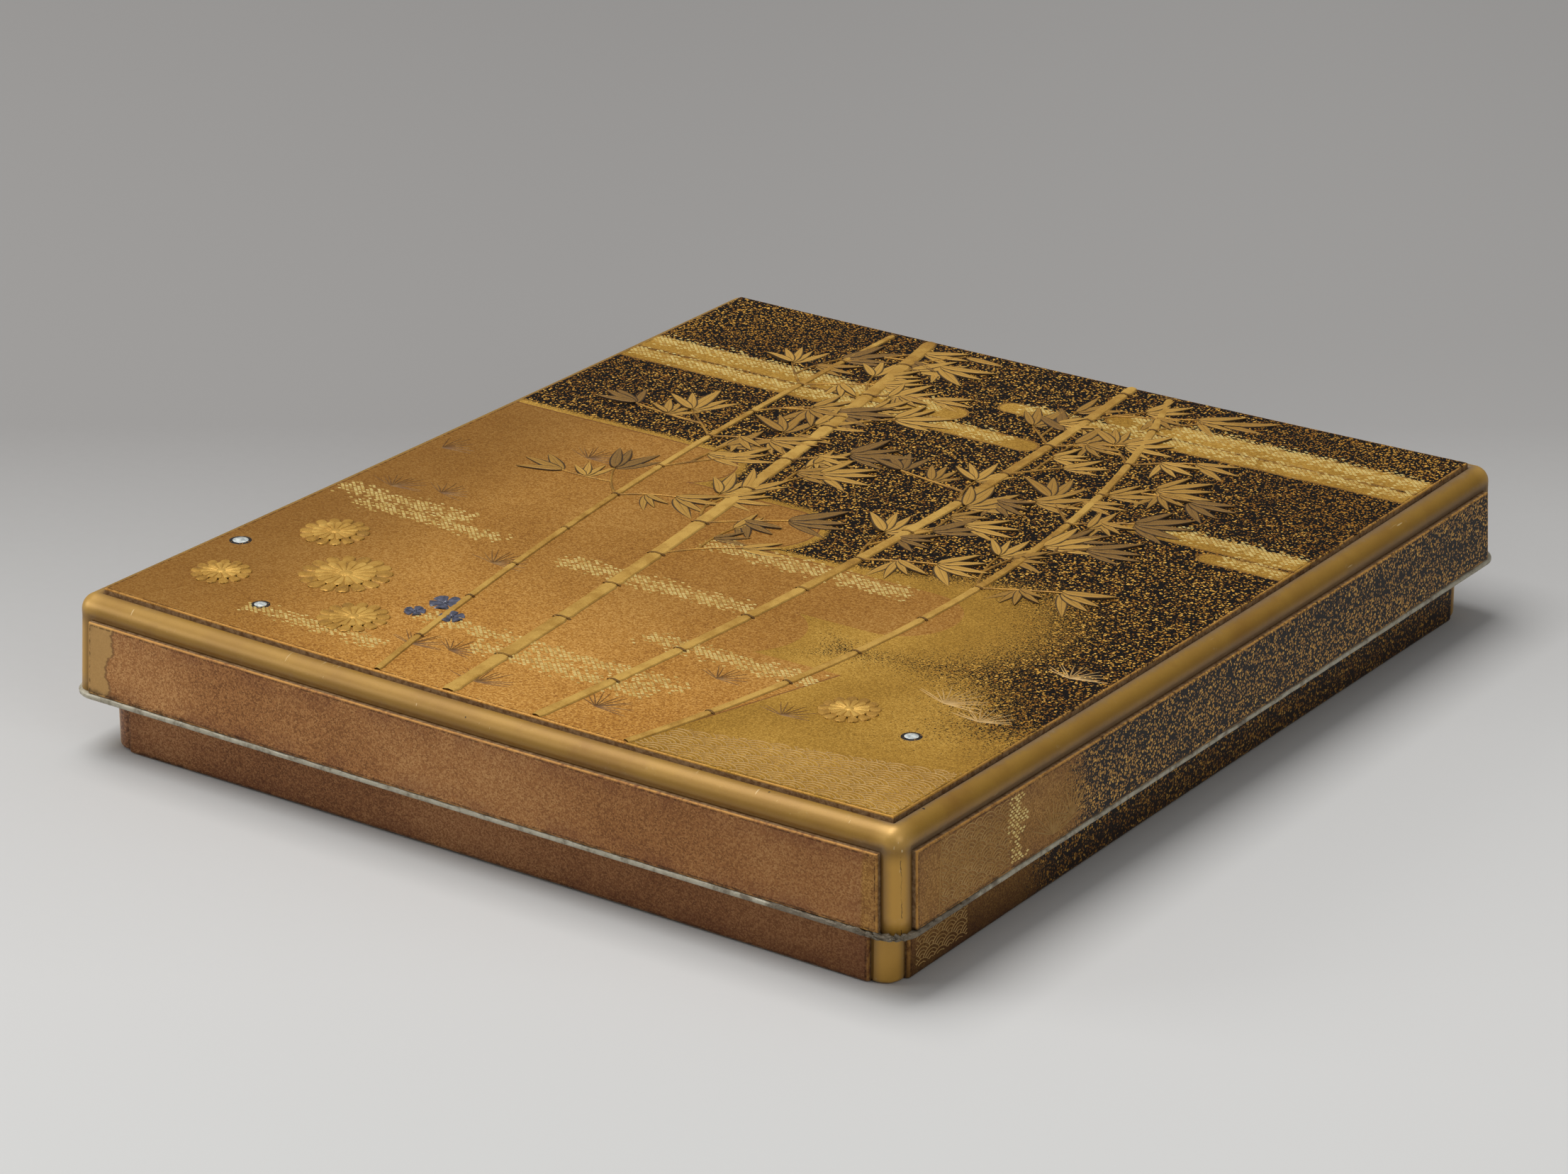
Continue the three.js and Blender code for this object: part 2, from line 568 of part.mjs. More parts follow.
// The awl: a round handle with a steel spike set in its bore.
function makeAwl() {
  const middle = TOOL_BOTTOM + AWL.radius;
  const front = (AWL.spike - AWL.handle) / 2;
  const handle = column(0, 0, 0, AWL.handle, AWL.radius - AWL.taper, AWL.radius, HANDLE_STEPS);
  const boreRadius = AWL.spikeRadius + TANG_CLEARANCE;
  const bore = column(0, 0, -OVERSHOOT, AWL.tang + TANG_CLEARANCE, boreRadius, boreRadius, SPIKE_STEPS);
  add("awl_handle", layDown(cut(handle, bore), AWL_X, front, middle), BLACK_LACQUER);
  const profile = [
    new THREE.Vector2(0, -AWL.spike),
    new THREE.Vector2(AWL.spikeRadius, AWL.point - AWL.spike),
    new THREE.Vector2(AWL.spikeRadius, AWL.tang),
    new THREE.Vector2(0, AWL.tang),
  ];
  const spike = new THREE.LatheGeometry(profile, SPIKE_STEPS);
  add("awl_spike", spike.translate(AWL_X, front, middle), STEEL);
}

function makeInkStick() {
  const outline = roundedOutline(INK_STICK.width, INK_STICK.length, INK_STICK.corner, INK_STICK_X, 0);
  add("ink_stick", upright(outline, TOOL_BOTTOM, TOOL_BOTTOM + INK_STICK.height), INK);
}

// The front and left walls are browner than the other two.
const WALL_FINISHES = [BROWN_LACQUER, DARK_LACQUER, DARK_LACQUER, BROWN_LACQUER];

makeLidTop();
makeBaseFloor();
WALL_FINISHES.forEach((finish, index) => {
  makeLidMoulding(index);
  makeLidWall(index, finish);
  makeLidCorner(index);
  makeLidRim(index);
  makeBaseWall(index, finish);
  makeBaseCorner(index);
  makeBaseRim(index);
});
makeStoneBoard();
makeInkstone();
makeWaterDropper();
makeTray("left", -TRAY_OUTER, -TRAY_INNER);
makeTray("right", TRAY_INNER, TRAY_OUTER);
makeBrushRest("brush_rest_front", FRONT_REST_Y);
makeBrushRest("brush_rest_back", BACK_REST_Y);
makeBrush("large_brush", LARGE_BRUSH);
makeBrush("small_brush", SMALL_BRUSH);
makePaperKnife();
makeAwl();
makeInkStick();

export default box;
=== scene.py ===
"""A lacquered writing box: its grounds, mouldings, relief and contents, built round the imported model."""

import json
import math
import random

import bmesh
import bpy
import numpy as np
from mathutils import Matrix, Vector


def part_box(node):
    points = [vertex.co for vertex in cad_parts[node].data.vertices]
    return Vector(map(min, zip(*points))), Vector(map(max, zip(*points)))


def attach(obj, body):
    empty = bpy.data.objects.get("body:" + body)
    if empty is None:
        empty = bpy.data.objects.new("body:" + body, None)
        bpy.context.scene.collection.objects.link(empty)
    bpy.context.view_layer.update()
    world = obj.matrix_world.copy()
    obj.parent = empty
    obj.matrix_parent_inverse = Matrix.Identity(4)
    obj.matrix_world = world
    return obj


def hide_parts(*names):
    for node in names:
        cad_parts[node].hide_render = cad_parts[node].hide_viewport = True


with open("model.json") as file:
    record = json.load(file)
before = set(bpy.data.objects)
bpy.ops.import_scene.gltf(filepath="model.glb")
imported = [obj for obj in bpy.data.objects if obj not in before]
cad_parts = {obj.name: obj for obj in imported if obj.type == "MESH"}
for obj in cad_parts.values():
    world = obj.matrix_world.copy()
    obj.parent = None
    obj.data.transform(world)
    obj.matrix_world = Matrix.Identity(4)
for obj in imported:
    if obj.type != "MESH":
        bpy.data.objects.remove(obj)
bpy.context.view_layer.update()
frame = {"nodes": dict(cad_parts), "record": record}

MM = 0.001


def box_mm(node):
    """Lowest and highest corner of a CAD node in millimetres."""
    low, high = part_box(node)
    return np.array(low) / MM, np.array(high) / MM


# Sizes in millimetres. GAP is the joint that the CAD leaves between glued pieces.
GAP = 0.3
SEAM = 0.06
LID_MARGIN = 5.6
LID_BEAD_RADIUS = 3.75
LID_BEAD_SET_IN = 1.0
GROOVE_DEPTH = 0.45
GROOVE_WIDTH = 0.85
SIDE_GROOVE = 0.22
LID_SPLAY = 0.7
LID_WALL = 4.4
BASE_MARGIN = 6.0
BASE_BEAD_RADIUS = 4.2
BASE_BEAD_SET_IN = 0.7
FOOT_ROUND = 1.2
LINING = 0.3

# How far the box has moved from true with age
LID_DIP = 0.85
LID_DIP_DEPTH = 12.0
BELLY = 0.45
BASE_ARCH = 0.4
BASE_ARCH_DEPTH = 12.0

TOP_X, TOP_Y, TOP = box_mm("lid_top_board")[1]
HALF_X, HALF_Y = TOP_X + GAP + LID_MARGIN, TOP_Y + GAP + LID_MARGIN
WALL_TOP = box_mm("lid_wall_front")[1][2]
(_, _, LID_BOTTOM), (LID_RIM_X, _, LID_RIM_TOP) = box_mm("lid_rim_right")
(BASE_INNER_X, _, _), (BASE_X, _, BASE_WALL_TOP) = box_mm("base_wall_right")
BASE_Y = box_mm("base_wall_back")[1][1]
BASE_WALL = BASE_X - BASE_INNER_X
(_, _, BASE_RIM_BOTTOM), (_, _, BASE_RIM_TOP) = box_mm("base_rim_right")
FLOOR_TOP = box_mm("base_floor_board")[1][2]

SIDES = ("front", "right", "back", "left")
CORNERS = ("front_right", "back_right", "back_left", "front_left")


def paint(colour):
    """A display colour, 0 to 255 a channel, as the linear colour of a shader. A socket stays as it is."""
    if not isinstance(colour, tuple):
        return colour
    return (*(((c / 255 + 0.055) / 1.055) ** 2.4 for c in colour), 1.0)


def plug(tree, value, socket):
    """Links a Number or a socket to an input, or sets the input to a plain value."""
    if isinstance(value, Number):
        value = value.socket
    if isinstance(value, bpy.types.NodeSocket):
        tree.links.new(value, socket)
    else:
        socket.default_value = value


class Number:
    """A number that a node tree works out. Arithmetic on it adds Math nodes."""

    def __init__(self, tree, socket):
        self.tree = tree
        self.socket = socket

    def math(self, operation, *others):
        node = self.tree.nodes.new("ShaderNodeMath")
        node.operation = operation
        for value, socket in zip((self, *others), node.inputs):
            plug(self.tree, value, socket)
        return Number(self.tree, node.outputs[0])

    def __neg__(self):
        return self.math("MULTIPLY", -1)

    def ramp(self, start, end, low=0, high=1, smooth=True):
        """Goes from low at start to high at end, and stays there on both sides."""
        node = self.tree.nodes.new("ShaderNodeMapRange")
        node.interpolation_type = "SMOOTHSTEP" if smooth else "LINEAR"
        for value, socket in zip((self, start, end, low, high), node.inputs):
            plug(self.tree, value, socket)
        return Number(self.tree, node.outputs[0])

    def fall(self, start, end, high=1, smooth=True):
        """Goes from high at start to nothing at end."""
        return self.ramp(start, end, high, 0, smooth)


def math_method(operation):
    return lambda number, *others: number.math(operation, *others)


MATH_METHODS = {
    "__add__": "ADD", "__sub__": "SUBTRACT", "__mul__": "MULTIPLY", "__truediv__": "DIVIDE", "power": "POWER",
    "least": "MINIMUM", "most": "MAXIMUM", "size": "ABSOLUTE", "wave": "SINE",
}
for method_name, operation_name in MATH_METHODS.items():
    setattr(Number, method_name, math_method(operation_name))


class Finish:
    """A material under construction: the place on the piece in millimetres, and the colour so far."""

    def __init__(self, name):
        self.material = bpy.data.materials.new(name)
        self.material.use_nodes = True
        self.tree = self.material.node_tree
        self.tree.nodes.clear()
        self.colour = None
        place = self.node("TexCoord").outputs["Object"]
        self.place = self.node("VectorMath", {0: place, "Scale": 1 / MM}, operation="SCALE").outputs[0]
        split = self.node("SeparateXYZ", {0: self.place})
        self.x, self.y, self.z = (Number(self.tree, socket) for socket in split.outputs)

    def node(self, kind, inputs=None, **settings):
        node = self.tree.nodes.new("ShaderNode" + kind)
        for key, value in settings.items():
            setattr(node, key, value)
        for key, value in (inputs or {}).items():
            plug(self.tree, value, node.inputs[key])
        return node

    def mark(self, name):
        """A number stored on the piece's points."""
        return Number(self.tree, self.node("Attribute", attribute_name=name).outputs["Fac"])

    def stretched(self, along, shift):
        """The place with each axis multiplied, and moved on so that two patterns differ."""
        inputs = {"Vector": self.place, "Scale": along, "Location": (shift, shift, shift)}
        return self.node("Mapping", inputs).outputs[0]

    def noise(self, size, detail=2, rough=0.5, along=(1, 1, 1), shift=0):
        place = self.stretched(along, shift)
        inputs = {"Vector": place, "Scale": 1 / size, "Detail": detail, "Roughness": rough}
        return Number(self.tree, self.node("TexNoise", inputs).outputs[0])

    def cells(self, size, warp=0.0, shift=0):
        """Distance from the middle of a random cell, in cells, and three random numbers for that cell."""
        place = self.stretched((1, 1, 1), shift)
        if warp:
            noise = self.node("TexNoise", {"Vector": place, "Scale": 1.3 / size, "Detail": 1})
            inputs = {0: noise.outputs[1], 1: (warp, warp, warp), 2: place}
            place = self.node("VectorMath", inputs, operation="MULTIPLY_ADD").outputs[0]
        cells = self.node("TexVoronoi", {"Vector": place, "Scale": 1 / size})
        split = self.node("SeparateColor", {0: cells.outputs["Color"]})
        return [Number(self.tree, socket) for socket in (cells.outputs["Distance"], *split.outputs[:3])]

    def blend(self, share, first, second):
        inputs = {0: share, 6: paint(first), 7: paint(second)}
        return self.node("Mix", inputs, data_type="RGBA").outputs[2]

    def lay(self, share, colour):
        """Lays another colour over a share of the colour so far."""
        self.colour = self.blend(share, self.colour, colour)

    def stops(self, number, *stops):
        """The colour at a number, between (place, colour) stops."""
        node = self.node("ValToRGB", {0: number})
        ramp = node.color_ramp
        while len(ramp.elements) < len(stops):
            ramp.elements.new(1.0)
        for element, (position, colour) in zip(ramp.elements, stops):
            element.position = position
            element.color = paint(colour)
        return node.outputs[0]

    def bump(self, height, strength=1):
        """A normal from a height in millimetres."""
        return self.node("Bump", {"Height": height, "Strength": strength, "Distance": MM}).outputs[0]

    def surface(self, metal=0, rough=0.5, normal=None, **constants):
        """Ends the material with the colour so far."""
        inputs = {"Base Color": self.colour, "Metallic": metal, "Roughness": rough}
        inputs |= {key.replace("_", " "): value for key, value in constants.items()}
        if normal is not None:
            inputs["Normal"] = normal
        shader = self.node("BsdfPrincipled", inputs)
        output = self.node("OutputMaterial")
        self.tree.links.new(shader.outputs[0], output.inputs[0])
        return self.material


# Gold fields and mist bands on the top: (middle Y, from X, to X, half its thickness)
MAIN_FIELD = [
    (-114, -160, 160, 20), (-82, -160, 56, 16), (-56, -160, 22, 14), (-30, -160, 46, 13), (-6, -160, -8, 13),
    (16, -160, -44, 11),
]
MIST_BANDS = [
    (80, -160, -14, 4.2), (71.5, -160, 12, 3.6), (99, 22, 160, 4.0), (91.5, -4, 160, 3.2), (42, 62, 160, 3.6),
    (35, 84, 160, 2.8),
]

# Colours as they look in soft daylight. Tones are dark, middle and light.
BLACK = (17, 12, 9)
WARM_BLACK = (20, 14, 11)
DARK_BROWN = (52, 30, 15)
GOLD_LIGHT = (214, 172, 98)
GOLD_DEEP = (158, 106, 42)
GOLD_SHADE = (112, 74, 30)
FLAKES = (0, (108, 66, 22)), (0.45, (164, 112, 38)), (0.8, (202, 148, 58)), (1, (226, 178, 86))
FIELD_TONES = (138, 88, 34), (182, 128, 56), (214, 164, 90)
OLIVE_TONES = (122, 88, 30), (168, 126, 50), (206, 164, 80)
LID_TONES = (112, 71, 38), (168, 115, 67), (204, 156, 100)
LID_RIGHT_TONES = (98, 64, 28), (152, 108, 52), (196, 152, 86)
BASE_TONES = (93, 56, 33), (148, 98, 60), (190, 140, 93)
BASE_RIGHT_TONES = (70, 44, 18), (124, 84, 38), (168, 126, 66)
OVERLAP_TONES = (84, 50, 30), (136, 89, 55), (178, 130, 86)

# Where a wall's finish turns from the front's to the right side's
TURN_START, TURN_END = BASE_X - 4.5, BASE_X - 3.5
# How far left of the middle the lighter patch on the lid's front begins
PATCH_AT = 92.3


def sprinkle(finish, size, cover, low, high):
    """Gold flakes of one size: how much of each point they cover, and a number for the colour of each."""
    distance, chance, width, tone = finish.cells(size, warp=0.7 * size)
    clump = finish.noise(1.5, rough=0.6, shift=41).ramp(0.34, 0.56, 0.74, 1)
    present = clump * cover - chance
    shape = width.ramp(0, 1, low, high, smooth=False) - distance
    return shape.ramp(-0.03, 0.05) * present.ramp(0, 0.02), tone


def flaked_ground(finish, patch_size, black, low, high, gleam=0.0):
    """Dark ground with gold flakes: its colour, and how much of each point the flakes cover."""
    patchy = finish.noise(patch_size, detail=4, rough=0.6, shift=3)
    flakes, tone = sprinkle(finish, 0.6, patchy.ramp(0.3, 0.7, 0.8, 1), low, high)
    gold = finish.stops(tone, *FLAKES)
    if gleam:
        gold = finish.blend(gleam, gold, (236, 190, 112))
    return finish.blend(flakes, black, gold), flakes


def powder(finish, grain, tones, patchiness, contrast):
    """The colour of fine gold powder with a grain of this size and slow patches."""
    _, chance, _, _ = finish.cells(grain, shift=23)
    patch = finish.noise(34, detail=3, rough=0.55, shift=11)
    tone = chance.ramp(0, 1, 0.5 - contrast, 0.5 + contrast, smooth=False)
    tone = tone + patch.ramp(0.3, 0.7, -patchiness, patchiness)
    return finish.stops(tone, *zip((0.1, 0.5, 0.9), tones))


def broken_cover(finish, gold):
    """How much of each point the powder covers, where it breaks up into grains at its edge."""
    grain = finish.noise(0.42, rough=0.7, shift=21)
    return (gold + grain.ramp(0.2, 0.8, -0.5, 0.5, smooth=False)).ramp(0.42, 0.58)


def ground_bump(finish, flakes, cover, grain):
    return finish.bump(flakes * 0.03 + cover * 0.02 + finish.noise(grain, detail=1) * 0.012, 0.5)


def wear_edge(finish, edge):
    """Paints a panel's worn bright arris, the fine dark line inside it and the grime down its side."""
    wear = finish.noise(1.1, detail=3, rough=0.7, shift=5)
    worn = wear * 0.6 + finish.noise(11, shift=19) * 0.5
    line = edge.fall(0.18, 0.46) * worn.ramp(0.42, 0.6)
    finish.lay(edge.ramp(0.3, 0.5) * edge.fall(0.55, 0.9) * wear.fall(0.42, 0.6, 0.7), DARK_BROWN)
    finish.lay(line * 0.7, (192, 142, 74))
    dirt = finish.blend(wear.ramp(0.3, 0.7), (104, 74, 46), (150, 122, 88))
    finish.lay(edge.fall(-0.16, -0.04), dirt)


def band_field(finish, bands):
    """Distance outside a set of round-ended bands on the top, less than zero inside them."""
    found = None
    for middle, start, end, half in bands:
        across = finish.y - middle
        beside = (finish.x - (start + end) / 2).size() - (end - start) / 2
        beside = beside.most(0)
        here = (beside * beside + across * across).power(0.5) - half
        found = here if found is None else found.least(here)
    return found


def wave_edge(x):
    """The upper edge of the wave pattern on the top at an X."""
    return x * 0.22 - 116


def past_waves(x, y):
    """How far a place is past the line where the olive ground begins, for plain or node numbers."""
    return x - (y * 0.3 + 74)


def top_gold(finish, solid, past_line):
    """The gold on the top: warm fields, and olive past the wave line and in the mist, with painted shade on
    the warm fields towards the left and the back.
    """
    # Painted shade: the warm field is blended towards dark brown towards the left and towards the back.
    shade = finish.x.fall(-100, -24, 0.66).most(finish.y.ramp(-100, -40, 0, 0.36))
    field = finish.blend(shade, powder(finish, 0.34, FIELD_TONES, 0.08, 0.3), (108, 72, 30))
    greenish = solid.fall(0, 1).most(past_line.ramp(0, 0.4))
    return finish.blend(greenish, field, powder(finish, 0.3, OLIVE_TONES, 0.14, 0.2))


def top_ground():
    """The lid's top: gold powder fields and mist bands that fade into dark ground with gold flakes."""
    finish = Finish("top_ground")
    dark, flakes = flaked_ground(finish, 5, BLACK, 0.25, 0.56)
    wobble = finish.noise(9, shift=31) - 0.5
    field_edge = band_field(finish, MAIN_FIELD) + wobble * 0.8
    mist_edge = band_field(finish, MIST_BANDS) + wobble * 1.2
    solid = field_edge.fall(-0.12, 0.12)
    soft = (field_edge.most(0) / finish.x.ramp(10, 90, 1.6, 17) * -1).ramp(-3, 0, 0, 0.78)
    mist = mist_edge.fall(-0.1, 0.3) * (wobble * 0.5 + 1.1)
    cover = broken_cover(finish, solid.most(soft).most(mist))
    past_line = past_waves(finish.x, finish.y)
    finish.colour = finish.blend(cover, dark, top_gold(finish, solid, past_line))
    outline = (field_edge + 0.25).size().fall(0.12, 0.3, 0.7) * finish.x.fall(0, 40)
    outline = outline.most(past_line.size().fall(0.12, 0.32, 0.75) * solid)
    outline = outline.most((mist_edge + 0.2).size().fall(0.12, 0.3, 0.6))
    finish.lay(outline, (104, 62, 38))
    wear_edge(finish, finish.mark("edge"))
    metal = (cover * 0.3 + flakes * 0.15).least(0.4)
    bump = ground_bump(finish, flakes, cover, 0.34)
    return finish.surface(metal, cover.ramp(0, 1, 0.4, 0.5), bump, Specular_IOR_Level=0.08)


def lay_wall_gold(finish, edge, tones, right_tones, patch):
    """A wall's powder: darker to the right and round its rim, with a ragged lighter patch at the left end."""
    finish.colour = powder(finish, 0.3, tones, 0.12, 0.26)
    finish.lay(finish.x.ramp(-80, 90, 0, 0.36, smooth=False), (96, 58, 28))
    finish.lay(finish.x.ramp(TURN_START, TURN_END), powder(finish, 0.3, right_tones, 0.08, 0.24))
    rim = edge.fall(0, 6) * finish.noise(9, detail=4, rough=0.65, shift=7).ramp(0.35, 0.65)
    finish.lay(rim * 0.4, (98, 54, 40))
    ragged = finish.noise(5, detail=4, rough=0.6, along=(0, 0.5, 1), shift=2)
    past_patch = finish.x + ragged * 9 + PATCH_AT
    front = finish.y.fall(-121, -119, patch)
    finish.lay(past_patch.fall(-0.3, 0.3) * front, (186, 148, 90))
    finish.lay(past_patch.size().fall(0.2, 0.5, 0.7) * front, (104, 70, 44))


def wall_ground(name, tones, right_tones, fade_at, foot, gleam=0.0, patch=0.0):
    """A wall: brown gold powder at the front and left, that fades into dark ground with gold flakes, and
    painted shade along its foot.
    """
    finish = Finish(name)
    edge = finish.mark("edge")
    lay_wall_gold(finish, edge, tones, right_tones, patch)
    fade = (-finish.x).most(-finish.y) + finish.noise(6, detail=3) * 5
    cover = broken_cover(finish, fade.ramp(fade_at, fade_at + 34))
    dark, flakes = flaked_ground(finish, 6, WARM_BLACK, 0.28, 0.6, gleam)
    finish.colour = finish.blend(cover, dark, finish.colour)
    wear_edge(finish, edge)
    # Painted shade: the noise named dirty only breaks up a dark line along the foot, in the gap above the
    # lid's rim and at the base's foot.
    dirty = finish.noise(3, detail=3, rough=0.7, shift=27).ramp(0.4, 0.6)
    seam = finish.z.fall(foot + 0.1, finish.x.ramp(-100, -40, foot + 2.2, foot + 0.9), 0.85) * dirty
    # Painted shade: the base's lower wall is darker towards the floor, more on the right side.
    shade = finish.z.fall(0, 10, smooth=False) * finish.x.ramp(TURN_START, TURN_END, 0.22, 0.56)
    finish.lay(seam.most(shade), (40, 22, 10))
    bump = ground_bump(finish, flakes, cover, 0.3)
    return finish.surface(cover * 0.25, cover.ramp(0, 1, 0.4, 0.52), bump, Specular_IOR_Level=0.16)


def lay_bead_gold(finish, fine, rub):
    """The bead's gold: painted shade under its curve, painted light on the posts, a painted highlight on the
    corner balls, and scratched.
    """
    cloud = finish.noise(22, detail=4, rough=0.6)
    finish.colour = finish.stops(cloud, (0.3, (145, 106, 35)), (0.55, (158, 119, 42)), (0.75, (139, 99, 31)))
    finish.lay(fine.ramp(0.4, 0.8) * 0.14, GOLD_SHADE)
    # Painted shade on the lower part of the horizontal beads' curve.
    under = finish.z.ramp(TOP - 2.6, TOP - 5.4) * finish.z.ramp(WALL_TOP - 1.5, WALL_TOP + 0.5)
    finish.lay(under * 0.3, (98, 62, 16))
    # Painted light: the upright posts are laid lighter and warmer.
    finish.lay(finish.z.fall(WALL_TOP - 3, WALL_TOP + 1, 0.66), (208, 158, 68))
    # A painted highlight on the corner balls.
    ball = finish.x.size().ramp(HALF_X - 9, HALF_X - 3) * finish.y.size().ramp(HALF_Y - 9, HALF_Y - 3)
    finish.lay(ball * finish.z.ramp(WALL_TOP, WALL_TOP + 3, 0, 0.4), (226, 180, 98))
    finish.lay(rub.ramp(0.6, 0.78) * 0.25, (204, 182, 140))
    scratch = finish.noise(0.5, detail=1, along=(1, 0.06, 0.3), shift=8)
    finish.lay(scratch.ramp(0.76, 0.8, 0, 0.5), (222, 200, 154))


def lay_bead_haze(finish, away, rub, slow, upright):
    """Wears a haze of grime into the bead beside the panels, greyer on the right, paints shade down the posts
    beside the panels, and returns the haze.
    """
    right = finish.x.ramp(88, 106)
    reach = slow.ramp(0.3, 0.7, 1.3, 2.4) + right * 0.9 + rub.ramp(0.3, 0.7, -0.5, 0.5)
    haze = away.fall(0.2, reach) * (right * 0.3 + 0.55) * (upright * -0.6 + 1)
    dust = finish.blend(rub.ramp(0.35, 0.65), (86, 58, 30), (122, 94, 60))
    finish.lay(haze, finish.blend(right * 0.6, dust, (82, 74, 66)))
    # Painted shade down the posts' sides beside the panels.
    finish.lay(away.fall(0.2, 3.2, 0.6) * upright, (104, 74, 34))
    return haze


def lay_near_post(finish, rub, slow, upright):
    """A fine crack down the near corner post, and a scrap of the wall's brown powder on the left one."""
    across = -finish.x - finish.y - HALF_Y + HALF_X
    crack = (across + rub * 2 - 0.1).size().fall(0.06, 0.16, 0.85) * slow.ramp(0.45, 0.5)
    crack = crack * upright * finish.z.ramp(LID_BOTTOM, LID_RIM_TOP)
    crack = crack * finish.noise(1.2, along=(0, 0, 1), shift=4).ramp(0.4, 0.46)
    finish.lay(crack, (34, 24, 14))
    covered = finish.x.ramp(-97.6, -98.2) * finish.x.ramp(-101.8, -101.2) * finish.y.ramp(-114, -115)
    covered = covered * finish.z.ramp(LID_RIM_TOP, LID_BOTTOM)
    finish.lay(covered, powder(finish, 0.4, OVERLAP_TONES, 0.08, 0.3))


def bead_gold():
    """Satin gold lacquer on the rounded mouldings, scuffed, chipped and grimy beside the panels, with painted
    shade, painted light and a painted highlight in its colour.
    """
    finish = Finish("bead_gold")
    away = finish.mark("away")
    fine = finish.noise(0.35)
    rub = finish.noise(2.2, detail=5, rough=0.75, shift=17)
    slow = finish.noise(30, detail=3, shift=13)
    upright = finish.z.ramp(WALL_TOP + 1, WALL_TOP - 2)
    lay_bead_gold(finish, fine, rub)
    haze = lay_bead_haze(finish, away, rub, slow, upright)
    lay_near_post(finish, rub, slow, upright)
    upper = finish.z.ramp(TOP - 2.5, TOP - 1, 0.12, 0.85)
    line = away.fall(0.1, 0.4) * upper * rub.ramp(0.3, 0.6, 0.45, 1)
    finish.lay(line, (52, 36, 26))
    distance, chance, width, _ = finish.cells(5, warp=1.0)
    chip = (width.ramp(0, 1, 0.02, 0.075) - distance).ramp(0, 0.01) * (-chance + 0.2).ramp(0, 0.02)
    finish.lay(chip, (34, 24, 18))
    dirt = haze.most(line)
    rough = dirt.ramp(0, 1, 0.38, 0.65) + rub * 0.06
    bump = finish.bump(chip * -0.08 + fine * 0.006)
    return finish.surface(dirt.ramp(0, 1, 0.3, 0.1), rough, bump, Specular_IOR_Level=0.55)


def leaf_gold():
    """Raised leaves: gold, or brown-grey gold further back, with fine veins and a bare dark border."""
    finish = Finish("leaf_gold")
    across = finish.mark("across").size()
    powdery = finish.noise(0.3)
    shade = finish.mark("tone") + powdery.ramp(0.3, 0.7, -0.12, 0.12)
    finish.colour = finish.stops(shade, (0.05, (112, 84, 48)), (0.5, (162, 121, 54)), (0.95, (190, 147, 70)))
    veins = (across * 17).wave().ramp(0.55, 0.95) * 0.25
    finish.lay(veins.most(across.fall(0.04, 0.16, 0.45)), (92, 66, 38))
    finish.lay(across.ramp(0.9, 1.05) * 0.9, (52, 42, 34))
    return finish.surface(0.25, 0.5, finish.bump(powdery * 0.03), Specular_IOR_Level=0.15)


def raised_gold():
    """Raised gold on stems and petals, with powder worn thin in places and a fine dark border."""
    finish = Finish("raised_gold")
    powdery = finish.noise(0.32)
    cloud = finish.noise(5, detail=4, rough=0.6)
    shade = finish.mark("tone") + cloud.ramp(0.3, 0.7, -0.2, 0.2) + powdery.ramp(0.3, 0.7, -0.1, 0.1)
    finish.colour = finish.stops(shade, (0.1, (112, 80, 40)), (0.5, (172, 128, 54)), (0.95, (206, 164, 82)))
    finish.lay(finish.mark("across").size().ramp(0.8, 1) * 0.75, (78, 54, 34))
    return finish.surface(0.35, 0.45, finish.bump(powdery * 0.03), Specular_IOR_Level=0.2)


def line_gold():
    """Fine drawn lines, from brown on the gold ground to grey gold on the dark one."""
    finish = Finish("line_gold")
    shade = finish.mark("tone") + finish.noise(3, detail=4, rough=0.7).ramp(0.3, 0.7, -0.15, 0.15)
    finish.colour = finish.stops(shade, (0, (108, 76, 42)), (0.5, (166, 130, 76)), (1, (198, 166, 110)))
    return finish.surface(0.1, 0.5, Specular_IOR_Level=0.2)


def cut_gold_leaf():
    """Bright plates of cut gold leaf, each a little different."""
    finish = Finish("cut_gold_leaf")
    tone = finish.mark("tone") + finish.noise(0.4).ramp(0.3, 0.7, -0.2, 0.2)
    finish.colour = finish.stops(tone, (0, (186, 146, 76)), (0.4, (218, 188, 106)), (1, (236, 214, 140)))
    return finish.surface(0.35, 0.38)


def glazed_inlay(name, deep, light):
    """A small inlay under clear lacquer, cloudy inside."""
    finish = Finish(name)
    cloud = finish.noise(1.1, detail=3)
    finish.colour = finish.blend(cloud.ramp(0.3, 0.7), deep, light)
    return finish.surface(0, 0.3, finish.bump(cloud * 0.05), Coat_Weight=0.5, Coat_Roughness=0.1)


def pewter():
    """Dull grey pewter with tarnish, small dents and dirt worked in round the front right corner."""
    finish = Finish("pewter")
    cloud = finish.noise(2.4, detail=5, rough=0.7)
    fine = finish.noise(0.3, detail=3)
    greys = (0.28, (112, 102, 84)), (0.46, (168, 161, 141)), (0.8, (194, 189, 170))
    finish.colour = finish.stops(cloud, *greys)
    near = finish.x.ramp(56, 106) * finish.y.fall(-124, -84)
    dirty = (finish.noise(5, detail=5, rough=0.65, shift=6) + near * 0.3).ramp(0.5, 0.66, 0, 0.8)
    finish.lay(dirty, finish.blend(fine, (70, 58, 44), (118, 104, 84)))
    dent = finish.noise(1.3, detail=4, rough=0.6, shift=9)
    height = dent * near.ramp(0, 1, 0.16, 0.5) + fine * 0.02
    return finish.surface(0.25, cloud.ramp(0.2, 0.8, 0.62, 0.42), finish.bump(height))


